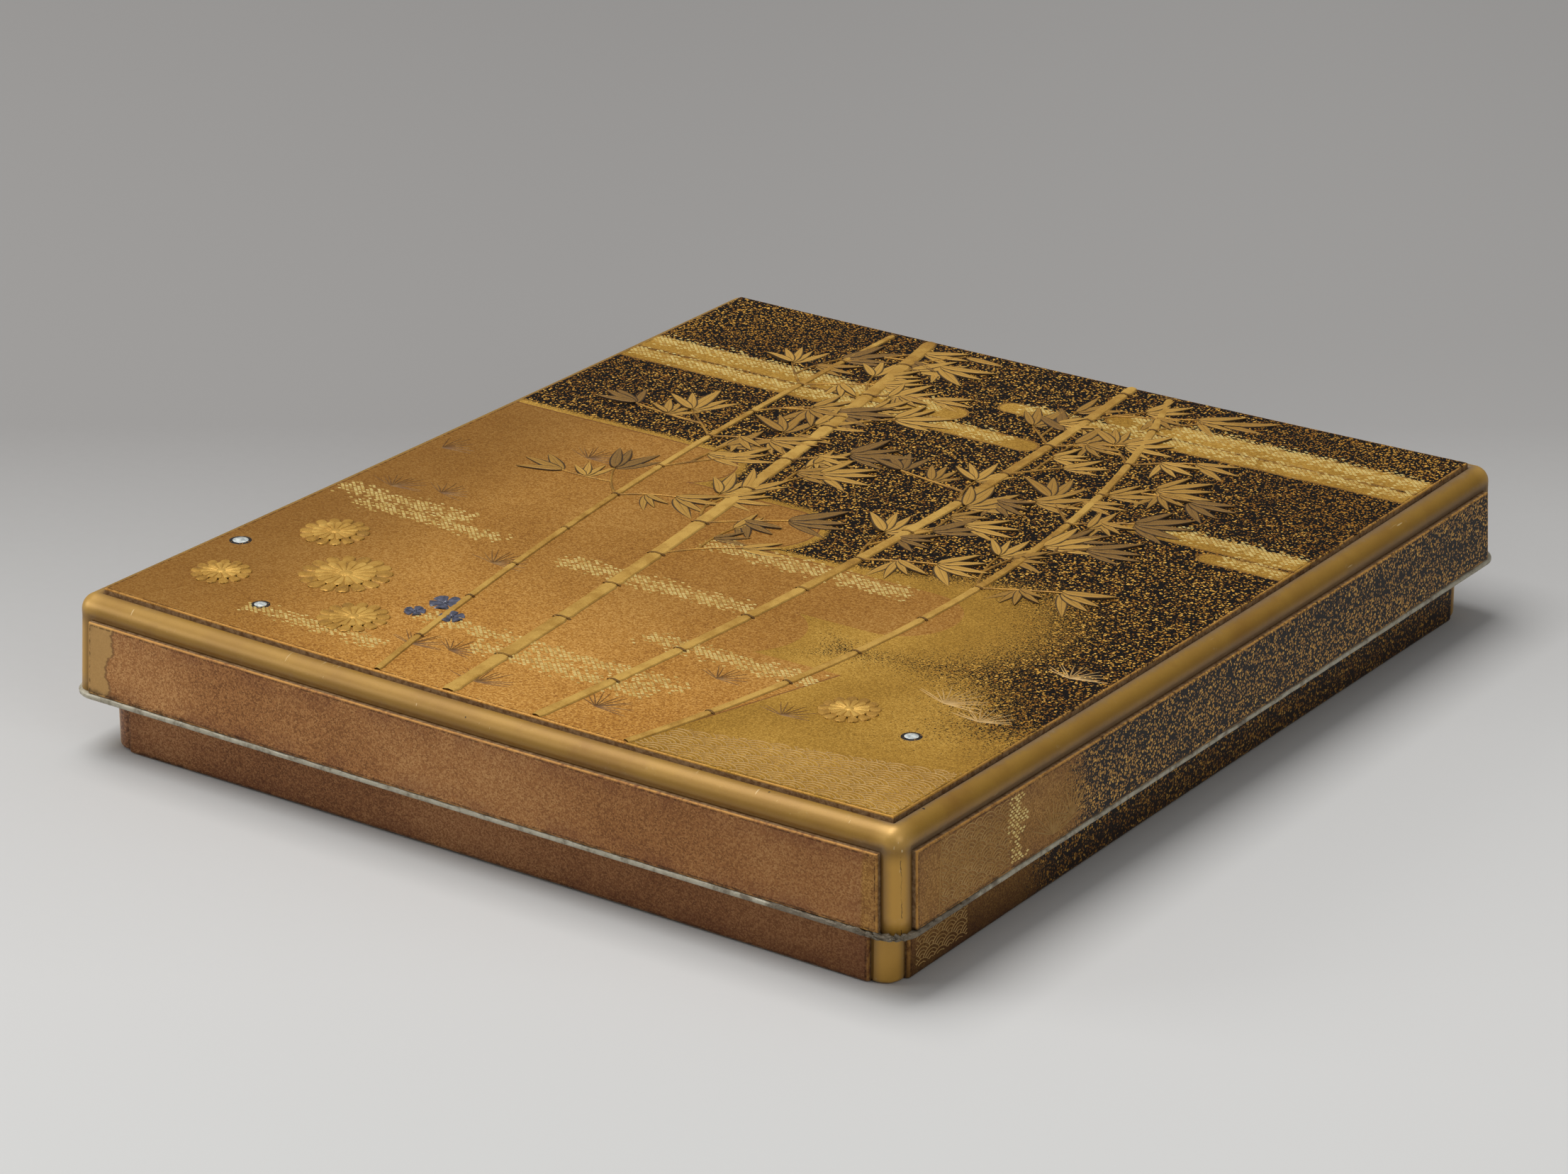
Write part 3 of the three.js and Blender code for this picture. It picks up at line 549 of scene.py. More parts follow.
def dark_sprinkle():
    """Black lacquer with an even sprinkle of gold, for the insides."""
    finish = Finish("dark_sprinkle")
    flakes, tone = sprinkle(finish, 0.8, 0.6, 0.2, 0.5)
    finish.colour = finish.blend(flakes, (22, 15, 11), finish.stops(tone, *FLAKES))
    bump = finish.bump(flakes * 0.03, 0.6)
    return finish.surface(flakes * 0.3, 0.3, bump, Coat_Weight=0.3, Coat_Roughness=0.1)


def black_lacquer():
    """Glossy black lacquer with a sparse fine sprinkle, and gold where the piece is marked as gilt."""
    finish = Finish("black_lacquer")
    small, tone = sprinkle(finish, 0.4, 0.25, 0.2, 0.5)
    cloud = finish.noise(14, detail=3)
    finish.colour = finish.blend(cloud, BLACK, (30, 20, 14))
    finish.lay(small * 0.8, finish.stops(tone, *FLAKES))
    gilt = finish.mark("gilt").ramp(0.3, 0.7) * finish.noise(0.4).ramp(0.2, 0.4, 0.7, 1)
    finish.lay(gilt, finish.blend(cloud, GOLD_DEEP, GOLD_LIGHT))
    metal = gilt * 0.7 + small * 0.2
    return finish.surface(metal, 0.25, finish.bump(cloud * 0.03), Coat_Weight=0.4, Coat_Roughness=0.08)


def slate():
    """Honed dark slate with a faint grain."""
    finish = Finish("slate")
    grain = finish.noise(1.4, detail=6, rough=0.7, along=(1, 0.4, 1))
    speck = finish.noise(0.25, detail=1)
    finish.colour = finish.stops(grain, (0.3, (58, 59, 63)), (0.7, (90, 91, 96)))
    return finish.surface(0, grain.ramp(0.3, 0.7, 0.5, 0.68), finish.bump(grain * 0.03 + speck * 0.02))


def silver():
    """Hammered silver with tarnish in its hollows."""
    finish = Finish("silver")
    distance, _, _, _ = finish.cells(2.6, warp=0.8)
    cloud = finish.noise(9, detail=4)
    finish.colour = finish.stops(cloud, (0.25, (120, 112, 98)), (0.6, (196, 192, 182)))
    return finish.surface(0.95, cloud.ramp(0.2, 0.8, 0.42, 0.26), finish.bump(distance * 0.18, 0.8))


def bamboo():
    """Polished bamboo with fine fibres along Y, and dark horn where the piece is marked."""
    finish = Finish("bamboo")
    fibre = finish.noise(0.7, detail=3, along=(1, 0.03, 1))
    cloud = finish.noise(16, detail=3, along=(1, 0.3, 1))
    finish.colour = finish.stops(fibre, (0.25, (140, 98, 46)), (0.7, (198, 156, 88)))
    finish.lay(cloud.ramp(0.5, 0.8) * 0.35, (112, 70, 30))
    finish.lay(finish.mark("gilt").ramp(0.3, 0.7), finish.blend(fibre, (34, 22, 16), (74, 50, 34)))
    return finish.surface(0, 0.36, finish.bump(fibre * 0.04), Coat_Weight=0.3, Coat_Roughness=0.2)


def brush_hair():
    """Pale animal hair along Y."""
    finish = Finish("brush_hair")
    fibre = finish.noise(0.22, detail=3, along=(1, 0.02, 1))
    finish.colour = finish.stops(fibre, (0.25, (168, 146, 116)), (0.7, (232, 218, 194)))
    return finish.surface(0, 0.75, finish.bump(fibre * 0.1))


def steel():
    """Ground steel with fine marks across the blade."""
    finish = Finish("steel")
    scratches = finish.noise(0.25, detail=3, along=(0.05, 1, 1))
    cloud = finish.noise(8, detail=4)
    finish.colour = finish.stops(cloud, (0.25, (128, 128, 128)), (0.7, (186, 188, 190)))
    return finish.surface(0.95, scratches.ramp(0.2, 0.8, 0.24, 0.4), finish.bump(scratches * 0.02))


def ink():
    """Pressed ink: matt black with a faint sheen on its corners."""
    finish = Finish("ink")
    grain = finish.noise(0.5, detail=4)
    finish.colour = finish.stops(grain, (0.3, (20, 20, 22)), (0.7, (36, 36, 38)))
    return finish.surface(0, grain.ramp(0.2, 0.8, 0.5, 0.7), finish.bump(grain * 0.05))


def floor_paper():
    """The seamless paper under the box, with painted light: pale in front and on the right, grey further
    back, a painted fall-off of the light.
    """
    finish = Finish("floor_paper")
    back = finish.x * -0.5738 + finish.y * 0.819
    right = finish.x * 0.819 + finish.y * 0.5738
    greys = zip(
        (0.1, 0.25, 0.37, 0.57, 0.95),
        ((195, 195, 193), (193, 192, 190), (183, 182, 180), (142, 140, 138), (139, 137, 135)),
    )
    grain = finish.noise(3, detail=3) * 0.01
    # Painted light: the paper is lighter in front and darker further back.
    finish.colour = finish.stops(back.ramp(-400, 600, smooth=False) + grain, *greys)
    # Painted light, lighter towards the front right.
    finish.lay(right.ramp(-100, 200, 0, 0.34) * back.ramp(-100, 250, 1, 0.25), (208, 207, 205))
    return finish.surface(0, 0.9, Specular_IOR_Level=0.1)


# Every finish, by the record's material slot or by a name of its own
FINISHES = {}
WELD = 0.001


class Shape:
    """Points in millimetres, faces between them, and marks on the points for the materials."""

    def __init__(self):
        self.points = []
        self.faces = []
        self.marks = {}

    def add(self, points, faces, **marks):
        start = len(self.points)
        self.points += [tuple(p) for p in points]
        self.faces += [tuple(start + i for i in face) for face in faces]
        for name in {*marks, *self.marks}:
            old = self.marks.setdefault(name, [0.0] * start)
            new = marks.get(name, 0.0)
            old += [new] * len(points) if isinstance(new, (int, float)) else list(new)

    def move(self, turn):
        """Moves every point by a function of its three coordinates."""
        self.points = [turn(*point) for point in self.points]


def grid_faces(rows, columns, skip=lambda i, j: False):
    """The quads of a grid whose points are numbered row by row."""
    return [
        (i * columns + j, i * columns + j + 1, (i + 1) * columns + j + 1, (i + 1) * columns + j)
        for i in range(rows - 1)
        for j in range(columns - 1)
        if not skip(i, j)
    ]


def ring_faces(levels, count):
    """The quads of a round skin whose points are numbered ring by ring."""
    return [
        (k * count + m, k * count + (m + 1) % count, (k + 1) * count + (m + 1) % count, (k + 1) * count + m)
        for k in range(levels - 1)
        for m in range(count)
    ]


def make(name, shape, body, slot, nodes=(), finish=None, form=None, sharp=38, thick=0.0):
    """Makes a piece that rides on a body and stands for CAD nodes, in its slot's finish or another."""
    points = np.array(shape.points, float)
    if form:
        points = form(points)
    mesh = bpy.data.meshes.new(name)
    mesh.from_pydata((points * MM).tolist(), [], shape.faces)
    for mark, values in shape.marks.items():
        mesh.attributes.new(mark, "FLOAT", "POINT").data.foreach_set("value", values)
    tidy_mesh(mesh)
    mesh.shade_smooth()
    mesh.set_sharp_from_angle(angle=math.radians(sharp))
    mesh.materials.append(FINISHES[finish or slot])
    piece = bpy.data.objects.new(name, mesh)
    bpy.context.scene.collection.objects.link(piece)
    if thick:
        shell = piece.modifiers.new("thickness", "SOLIDIFY")
        shell.thickness = thick * MM
        shell.offset = -1.0
    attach(piece, body)
    if nodes:
        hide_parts(*nodes)


def tidy_mesh(mesh):
    """Welds points that meet, drops faces with no area and turns every face outwards."""
    work = bmesh.new()
    work.from_mesh(mesh)
    bmesh.ops.remove_doubles(work, verts=work.verts, dist=WELD * MM)
    bmesh.ops.dissolve_degenerate(work, edges=work.edges, dist=WELD * MM / 10)
    bmesh.ops.recalc_face_normals(work, faces=work.faces)
    work.to_mesh(mesh)
    work.free()


def lid_form(points):
    """The lid as it stands now: its walls spread and belly outwards, and its top dips between the corners."""
    x, y, z = points.T
    a, b = x / HALF_X, y / HALF_Y
    spread = LID_SPLAY * np.clip((WALL_TOP - z) / (WALL_TOP - LID_BOTTOM), 0, 1)
    out_x = a * (spread + BELLY * np.clip(1 - b**2, 0, 1))
    out_y = b * (spread + BELLY * np.clip(1 - a**2, 0, 1))
    dip = LID_DIP * np.clip(1 - (a * b) ** 2, 0, 1) * np.clip(1 - (TOP - z) / LID_DIP_DEPTH, 0, 1)
    return np.stack([x + out_x, y + out_y, z - dip], 1)


def base_form(points):
    """The base as it stands now: its foot arches up a little between the corners."""
    x, y, z = points.T
    a, b = x / BASE_X, y / BASE_Y
    arch = BASE_ARCH * np.clip(1 - (a * b) ** 2, 0, 1) * np.clip(1 - z / BASE_ARCH_DEPTH, 0, 1)
    return np.stack([x, y, z + arch], 1)


def to_side(points, index):
    """Turns points modelled on the front side to another side."""
    angle = index * math.pi / 2
    cos, sin = round(math.cos(angle)), round(math.sin(angle))
    return [(x * cos - y * sin, x * sin + y * cos, z) for x, y, z in points]


def side_sizes(index, half_x, half_y):
    """Half the run of one side, and how far that side stands from the middle."""
    return (half_x, half_y) if index % 2 == 0 else (half_y, half_x)


def panel_lines(length, radius, pitch):
    """Places across a panel, close together round its edges and about a pitch apart between them."""
    near = [0.0, 0.12 * radius, 0.35 * radius, 0.65 * radius, radius, radius + 0.5, radius + 2.0]
    count = max(2, round((length - 2 * near[-1]) / pitch))
    middle = np.linspace(near[-1], length - near[-1], count + 1)[1:-1]
    return np.array([*near, *middle, *[length - d for d in reversed(near)]]) - length / 2


def drop(distance, radius):
    """How far a rounded edge has fallen away at this distance from the border."""
    return radius - math.sqrt(max(0.0, radius**2 - max(0.0, radius - distance) ** 2))


def panel(width, length, thickness, radius=0.3, pitch=6.0):
    """A closed slab about the middle of its face, with its edges rounded: points (across, along, out)."""
    across, along = panel_lines(width, radius, pitch), panel_lines(length, radius, pitch)
    rows, columns = len(across) + 2, len(along) + 2
    points, edges = [], []
    for i in range(rows):
        for j in range(columns):
            s = across[min(max(i - 1, 0), rows - 3)]
            t = along[min(max(j - 1, 0), columns - 3)]
            from_s, from_t = width / 2 - abs(s), length / 2 - abs(t)
            skirt = i in (0, rows - 1) or j in (0, columns - 1)
            out = -thickness if skirt else -drop(from_s, radius) - drop(from_t, radius)
            points.append((s, t, out))
            edges.append(-thickness if skirt else min(from_s, from_t))
    shape = Shape()
    shape.add(points, grid_faces(rows, columns), edge=edges)
    back = [(s, t, -thickness) for s in across for t in along]
    shape.add(back, [face[::-1] for face in grid_faces(len(across), len(along))], edge=-thickness)
    return shape


def groove(distance, depth=GROOVE_DEPTH):
    """How deep the groove beside a bead is at this distance past the bead's centre line."""
    share = min(1.0, distance / GROOVE_WIDTH)
    return depth * share * share * (3 - 2 * share)


ARC_STEPS = 7
GROOVE_STEPS = 4
RUN_PITCH = 8.0


def cage_end(edge, margin):
    """Lines from an outer edge inwards: (bead centre or place, tilt of the surface, way past the bead)."""
    centre = edge - LID_BEAD_SET_IN - LID_BEAD_RADIUS
    inner = edge - margin
    arc = [(centre, math.tan(math.pi / 4 * k / ARC_STEPS), 0.0) for k in range(ARC_STEPS, 0, -1)]
    past = [(float(q), 0.0, float(centre - q)) for q in np.linspace(centre, inner, GROOVE_STEPS + 1)]
    return arc + past


def cage_lines(half, margin):
    """Lines across a face that has a bead at both ends."""
    high = cage_end(half, margin)
    inner = half - margin
    count = round(2 * inner / RUN_PITCH)
    run = [(float(q), 0.0, half) for q in np.linspace(inner, -inner, count + 1)[1:-1]]
    low = [(-q, -tilt, past) for q, tilt, past in reversed(high)]
    return high + run + low


def from_panel(tilt, past, limit):
    """How far along the moulding's skin a line is from the panel, in one direction."""
    return max(0.0, limit - past) + LID_BEAD_RADIUS * math.atan(abs(tilt))


def add_cage_face(shape, lines_s, lines_t, height, limit_t, depth, turn):
    """One face of the moulding, open where its panel is. turn makes x, y, z of a list of (s, t, out)."""
    limit_s = LID_MARGIN - LID_BEAD_SET_IN - LID_BEAD_RADIUS
    points, marks = [], []
    for s, tilt_s, past_s in lines_s:
        for t, tilt_t, past_t in lines_t:
            reach = LID_BEAD_RADIUS / math.sqrt(tilt_s**2 + tilt_t**2 + 1)
            low = groove(min(past_s, past_t), depth)
            points.append((s + tilt_s * reach, t + tilt_t * reach, height + reach - low))
            marks.append(math.hypot(from_panel(tilt_s, past_s, limit_s), from_panel(tilt_t, past_t, limit_t)))
    open_s = [past >= limit_s - 1e-6 for _, _, past in lines_s]
    open_t = [past >= limit_t - 1e-6 for _, _, past in lines_t]

    def inside(i, j):
        return open_s[i] and open_s[i + 1] and open_t[j] and open_t[j + 1]

    shape.add(turn(points), grid_faces(len(lines_s), len(lines_t), inside), away=marks)


def make_lid_moulding():
    """The lid's beads in one piece: along the four top edges, round the ball corners and down the corners."""
    past_centre = LID_BEAD_SET_IN + LID_BEAD_RADIUS
    lines_x, lines_y = cage_lines(HALF_X, LID_MARGIN), cage_lines(HALF_Y, LID_MARGIN)
    down = [(float(z), 0.0, HALF_X) for z in np.linspace(WALL_TOP, LID_RIM_TOP - 0.2, 5)[1:]]
    lines_z = cage_end(TOP, TOP - WALL_TOP) + down
    limit_top, limit_down = LID_MARGIN - past_centre, TOP - WALL_TOP - past_centre
    shape = Shape()
    add_cage_face(shape, lines_x, lines_y, TOP - past_centre, limit_top, GROOVE_DEPTH, list)
    for index in range(4):
        _, away = side_sizes(index, HALF_X, HALF_Y)
        lines = lines_x if index % 2 == 0 else lines_y

        def turn(points, side=index):
            return to_side([(s, -out, t) for s, t, out in points], side)

        add_cage_face(shape, lines, lines_z, away - past_centre, limit_down, SIDE_GROOVE, turn)
    nodes = [f"lid_moulding_{side}" for side in SIDES] + [f"lid_corner_{corner}" for corner in CORNERS]
    make("lid_moulding", shape, "lid", "polished_gold_lacquer", nodes, form=lid_form, sharp=60, thick=1.2)


def make_lid_top():
    width, length = 2 * (HALF_X - LID_MARGIN - SEAM), 2 * (HALF_Y - LID_MARGIN - SEAM)
    shape = panel(width, length, TOP - WALL_TOP - LINING - 0.1)
    shape.move(lambda x, y, out: (x, y, TOP + out))
    make("lid_top_panel", shape, "lid", "gold_and_dark_lacquer", ["lid_top_board"], "top", lid_form)


def make_walls(prefix, half_x, half_y, bottom, top, margin, thickness, radius, form):
    """The four wall panels of the lid or the base, between the corner beads."""
    middle_z = (bottom + top) / 2
    for index, side in enumerate(SIDES):
        half_run, away = side_sizes(index, half_x, half_y)
        shape = panel(2 * (half_run - margin - SEAM), top - bottom, thickness, radius)
        shape.points = to_side([(s, -(away + out), middle_z + t) for s, t, out in shape.points], index)
        slot = "brown_gold_lacquer" if side in ("front", "left") else "sprinkled_dark_lacquer"
        nodes = [f"{prefix}_wall_{side}"]
        make(f"{prefix}_panel_{side}", shape, prefix, slot, nodes, f"{prefix}_wall", form)


# Sections of raised lines: (how far across, in half widths; height)
LEAF_SECTION = [
    (-1.35, -4), (-1.3, 0.12), (-1, 0.15), (-0.85, 0.8), (-0.3, 0.85), (0, 0.45),
    (0.3, 0.85), (0.85, 0.8), (1, 0.15), (1.3, 0.12), (1.35, -4),
]
ROUND_SECTION = [(-1, -0.2), (-0.75, 0.62), (0, 1), (0.75, 0.62), (1, -0.2)]
LINE_SECTION = [(-1, -0.3), (0, 1), (1, -0.3)]
LOZENGE_PITCH = (1.25, 0.62)
LOZENGE = (0.58, 0.31)
TOP_EDGE_X, TOP_EDGE_Y = HALF_X - LID_MARGIN - 0.4, HALF_Y - LID_MARGIN - 0.4


class Drawing(Shape):
    """A drawing in low relief, (u, v, height), that stays inside a rectangle."""

    def __init__(self, low, high):
        super().__init__()
        self.low, self.high = low, high

    def holds(self, u, v, inset=0.5):
        (left, bottom), (right, top) = self.low, self.high
        return left + inset < u < right - inset and bottom + inset < v < top - inset

    def holds_all(self, path, inset=0.5):
        return all(self.holds(u, v, inset) for u, v in path)


def ribbon(shape, path, widths, height, section, lift=0.0, tone=0.5):
    """A raised strip along a drawn path: half its width at each point, and a section of (across, height)."""
    path = np.array(path, float)
    ahead = np.gradient(path, axis=0)
    ahead /= np.linalg.norm(ahead, axis=1)[:, None] + 1e-9
    beside = np.stack([-ahead[:, 1], ahead[:, 0]], 1)
    widest = max(widths)
    points = []
    for place, side, width in zip(path, beside, widths):
        swell = min(1.0, 2.0 * width / widest)
        for share, rise in section:
            u, v = place + side * share * width
            points.append((u, v, lift + height * rise * swell))
    across = [share for share, _ in section] * len(widths)
    shape.add(points, grid_faces(len(widths), len(section)), across=across, tone=tone)


def arc_path(root, heading, length, bend, steps):
    """A gently bent path from a root."""
    path = [root]
    for k in range(steps):
        angle = heading + bend * (k + 0.5) / steps
        u, v = path[-1]
        path.append((u + math.cos(angle) * length / steps, v + math.sin(angle) * length / steps))
    return path


def leaf(shape, chance, root, heading, length, lift, tone):
    """One slender bamboo leaf."""
    path = arc_path(root, heading - 0.12, length, chance.uniform(-0.1, 0.35), 10)
    if not shape.holds_all(path):
        return
    width = length * chance.uniform(0.08, 0.105)
    shares = [k / 10 for k in range(10)]
    widths = [max(0.02, width * math.sin(math.pi * share**0.7) ** 0.8) for share in shares]
    ribbon(shape, path, [*widths, 0.02], 0.14, LEAF_SECTION, lift, tone)


def spray(shape, chance, root, heading, length):
    """A few leaves that fan out from the end of a twig."""
    count = chance.choice((3, 4, 4, 5))
    tone = chance.choice((0.2, 0.5, 0.7, 0.85, 1.0))
    for k in range(count):
        turn = (k - (count - 1) / 2) * chance.uniform(0.36, 0.5)
        size = length * chance.uniform(0.8, 1.1) * (1 - 0.1 * abs(turn))
        leaf(shape, chance, root, heading + turn, size, 0.13 * k, tone)


def culm(shape, leaves, chance, start, heading, bend, width, bare):
    """A bamboo stem in joints, with twigs and sprays of leaves at its nodes, above the first bare joints."""
    place, angle, number = start, heading, 0
    while shape.holds(*place, 0.1):
        path = arc_path(place, angle, chance.uniform(19, 24), bend, 12)
        inside = [point for point in path if shape.holds(*point, 0.1)]
        if len(inside) < 3:
            return
        flare = [0.75, 1.06, *[0.95] * (len(inside) - 4), 1.04, 0.75]
        widths = [width * f for f in flare][: len(inside)]
        ribbon(shape, inside, widths, 0.5, ROUND_SECTION, 0, chance.uniform(0.5, 0.9))
        place, angle, number = path[-1], angle + bend, number + 1
        ring_start = (place[0] - 0.3 * math.cos(angle), place[1] - 0.3 * math.sin(angle))
        ring = arc_path(ring_start, angle, 0.6, 0, 2)
        if shape.holds_all(ring, width):
            ribbon(shape, ring, [width * 1.14] * 3, 0.55, ROUND_SECTION, 0.05, 0.15)
        if number > bare:
            side = 1 if number % 2 else -1
            branch(shape, leaves, chance, place, angle + side * chance.uniform(0.5, 0.75), 1)
            if number % 2:
                branch(shape, leaves, chance, place, angle - side * chance.uniform(0.8, 1.1), 0)


def branch(shape, leaves, chance, root, heading, forks):
    """A thin twig that ends in sprays of leaves, and may fork."""
    path = arc_path(root, heading, chance.uniform(13, 21), chance.uniform(-0.6, 0.1), 6)
    if not shape.holds_all(path):
        return
    ribbon(shape, path, [0.42, 0.4, 0.38, 0.34, 0.3, 0.27, 0.2], 0.3, ROUND_SECTION, 0.02, 0.35)
    down = heading - chance.uniform(0.2, 0.9)
    spray(leaves, chance, path[-1], down, chance.uniform(11, 15))
    if forks:
        branch(shape, leaves, chance, path[3], heading + chance.choice((-1, 1)) * chance.uniform(0.6, 0.9), 0)
    else:
        spray(leaves, chance, path[3], heading - chance.uniform(1.0, 1.6), chance.uniform(9, 12))


def blossom(shape, centre, radius, petals, turn):
    """A flower of two rings of round-ended petals about a low dome."""
    rings = ((1.0, 0.4, 0.0, 0.5), (0.66, 0.4, 0.22, 0.75)) if petals > 6 else ((1.0, 0.4, 0.0, 0.8),)
    for reach, height, lift, tone in rings:
        for k in range(petals):
            angle = turn + 2 * math.pi * (k + (0.5 if reach < 1 else 0)) / petals
            out = np.array([math.cos(angle), math.sin(angle)]) * radius
            path = [np.array(centre) + out * reach * share for share in (0.15, 0.5, 0.78, 0.9, 0.97, 1.0)]
            width = math.pi * radius * reach / petals * 0.86
            widths = [width * share for share in (0.25, 0.62, 0.9, 0.95, 0.7, 0.25)]
            ribbon(shape, path, widths, height, ROUND_SECTION, lift, tone)
    dome(shape, centre, radius * 0.2, 0.7, 0.7)


def dome(shape, centre, radius, height, tone):
    """A low round dome."""
    rings, sides = 5, 24
    points = []
    for k in range(rings + 1):
        angle = math.pi / 2 * k / rings
        reach = radius * math.cos(angle)
        for m in range(sides):
            turn = 2 * math.pi * m / sides
            place = (centre[0] + reach * math.cos(turn), centre[1] + reach * math.sin(turn))
            points.append((*place, height * math.sin(angle) - 0.02))
    shape.add(points, ring_faces(rings + 1, sides), tone=tone)


def needles(shape, chance, root, heading, length, tone):
    """A half-fan of fine pine needles."""
    count = round(length * 1.5)
    for k in range(count):
        angle = heading + (k / (count - 1) - 0.5) * 2.8 + chance.uniform(-0.06, 0.06)
        path = arc_path(root, angle, length * chance.uniform(0.8, 1.05), chance.uniform(-0.2, 0.2), 3)
        if shape.holds_all(path):
            ribbon(shape, path, [0.16, 0.2, 0.16, 0.06], 0.12, LINE_SECTION, 0.0, tone)


def waves(shape, low, high, size, inside):
    """Rows of overlapping arcs. Only what the row in front leaves open is drawn."""
    rows = int((high[1] - low[1]) / (size / 2)) + 3
    columns = int((high[0] - low[0]) / (2 * size)) + 2
    for row in range(-2, rows):
        for column in range(columns):
            centre = np.array([low[0] + (2 * column + row % 2) * size, low[1] + row * size / 2])
            for share in (1.0, 0.76, 0.52, 0.28):
                draw_arc(shape, centre, size * share, size, inside)


def draw_arc(shape, centre, radius, size, inside, steps=24):
    """The parts of one wave arc that no arc in front of it hides."""
    in_front = [centre + np.array(step) * size for step in ((-1, -0.5), (1, -0.5), (0, -1))]
    run = []
    for k in range(steps + 1):
        angle = math.pi * k / steps
        point = centre + radius * np.array([math.cos(angle), math.sin(angle)])
        hidden = any(np.hypot(*(point - other)) < size * 0.98 for other in in_front)
        open_here = not hidden and shape.holds(*point) and inside(*point)
        if open_here:
            run.append(point)
        if run and (not open_here or k == steps):
            if len(run) > 2:
                ribbon(shape, run, [0.15] * len(run), 0.11, LINE_SECTION, 0.0, 0.62)
            run = []


def band_distance(u, v, bands):
    """Distance outside a set of round-ended bands, less than zero inside them."""
    return min(
        math.hypot(max(start - u, u - end, 0.0), v - middle) - half for middle, start, end, half in bands
    )


def cut_gold(shape, chance, bands, fade, density=0.95):
    """Small lozenges of gold leaf in a lattice that breaks up towards the edges of its bands."""
    for band in bands:
        middle, start, end, half = band
        rows = int((half + fade) / LOZENGE_PITCH[1])
        for row in range(-rows, rows + 1):
            for column in range(int((end - start + 2 * fade) / LOZENGE_PITCH[0])):
                u = start - fade + (column + 0.5 * (row % 2)) * LOZENGE_PITCH[0]
                v = middle + row * LOZENGE_PITCH[1]
                away = band_distance(u, v, [band]) + chance.uniform(-0.35, 0.35) * fade
                if chance.random() < density * min(1.0, max(0.0, 1 - away / fade)) ** 1.6:
                    lozenge(shape, chance, u, v)


def lozenge(shape, chance, u, v):
    """One small plate of gold leaf, with bevelled edges."""
    u, v = u + chance.uniform(-0.05, 0.05), v + chance.uniform(-0.05, 0.05)
    if not shape.holds(u, v, 0.7):
        return
    turn = chance.uniform(-0.12, 0.12)
    points = []
    for grow, height in ((1.0, -0.02), (0.86, 0.06 + chance.uniform(0, 0.03))):
        for k, reach in enumerate(LOZENGE * 2):
            angle = turn + k * math.pi / 2
            points.append((u + grow * reach * math.cos(angle), v + grow * reach * math.sin(angle), height))
    shape.add(points, [*ring_faces(2, 4), (4, 5, 6, 7)], tone=chance.random())


def ring_path(half_x, half_y, radius, runs=(6, 8), corner_steps=6):
    """Points round a rectangle with round corners, each with the way out. Runs: points on each straight."""
    found = []
    for index in range(4):
        half_run, away = side_sizes(index, half_x, half_y)
        places = np.linspace(radius - half_run, half_run - radius, runs[index % 2])
        line = [((s, -away, 0), (0, -1, 0)) for s in places]
        for k in range(1, corner_steps):
            angle = -math.pi / 2 + math.pi / 2 * k / corner_steps
            out = (math.cos(angle), math.sin(angle))
            corner = (half_run - radius + radius * out[0], radius - away + radius * out[1], 0)
            line.append((corner, (*out, 0)))
        found += [(to_side([point], index)[0], to_side([out], index)[0]) for point, out in line]
    return found


def sweep_ring(path, section, vary):
    """A closed ring: a section of (out, up) points swept round a path. vary: each point's small shift."""
    count, sides = len(path), len(section)
    points = []
    for (x, y, _), (out_x, out_y, _) in path:
        for m, (away, up) in enumerate(section):
            shift_out, shift_up = vary((x, y), m)
            reach = away + shift_out
            points.append((x + out_x * reach, y + out_y * reach, up + shift_up))
    faces = []
    for k in range(count):
        start, following = k * sides, (k + 1) % count * sides
        for m in range(sides):
            beside = (m + 1) % sides
            faces.append((start + m, following + m, following + beside, start + beside))
    shape = Shape()
    shape.add(points, faces)
    return shape


def rounded_section(inner, outer, low, high, radius, steps=3):
    """A rectangle with round corners, as (out, up) points in order."""
    left, right, bottom, top = inner + radius, outer - radius, low + radius, high - radius
    found = []
    for start, (cx, cy) in enumerate(((right, top), (left, top), (left, bottom), (right, bottom))):
        for k in range(steps + 1):
            angle = math.pi / 2 * (start + k / steps)
            found.append((cx + radius * math.cos(angle), cy + radius * math.sin(angle)))
    return found


def uneven(amount, size, seed, lumps=0.0):
    """A smooth random shift of each section point along the way, with lumps by the battered front corner."""
    chance = random.Random(seed)

    def pattern(scale):
        pairs = [(chance.uniform(0.5, 1.5) / scale, chance.uniform(0.5, 1.5) / scale) for _ in range(5)]
        terms = [(u, v, chance.uniform(0, 6.28)) for u, v in pairs]
        def shift(point, m):
            return sum(math.sin(point[0] * u + point[1] * v + p + 0.9 * m) for u, v, p in terms) / 5

        return shift

    slow, quick = pattern(size), pattern(size / 4)

    def shift(point, m):
        near = math.exp(-((math.hypot(point[0] - HALF_X, point[1] + HALF_Y) / 20) ** 2))
        total, lump = slow(point, m) * (1 + near), quick(point, m) * lumps * near
        return amount * total + lump, amount * 0.6 * total + lump * 0.8

    return shift


def loft(shape, rings, bottom=True, top=True, **marks):
    """Joins rings of points, all of one count, into a skin with closed ends. Marks hold one value a ring."""
    count = len(rings[0])
    faces = ring_faces(len(rings), count)
    if bottom:
        faces.append(tuple(range(count)))
    if top:
        faces.append(tuple(range((len(rings) - 1) * count, len(rings) * count)))
    values = {name: [v for v in per_ring for _ in range(count)] for name, per_ring in marks.items()}
    shape.add([point for ring in rings for point in ring], faces, **values)


def at_height(outline, z):
    return [(u, v, z) for u, v in outline]


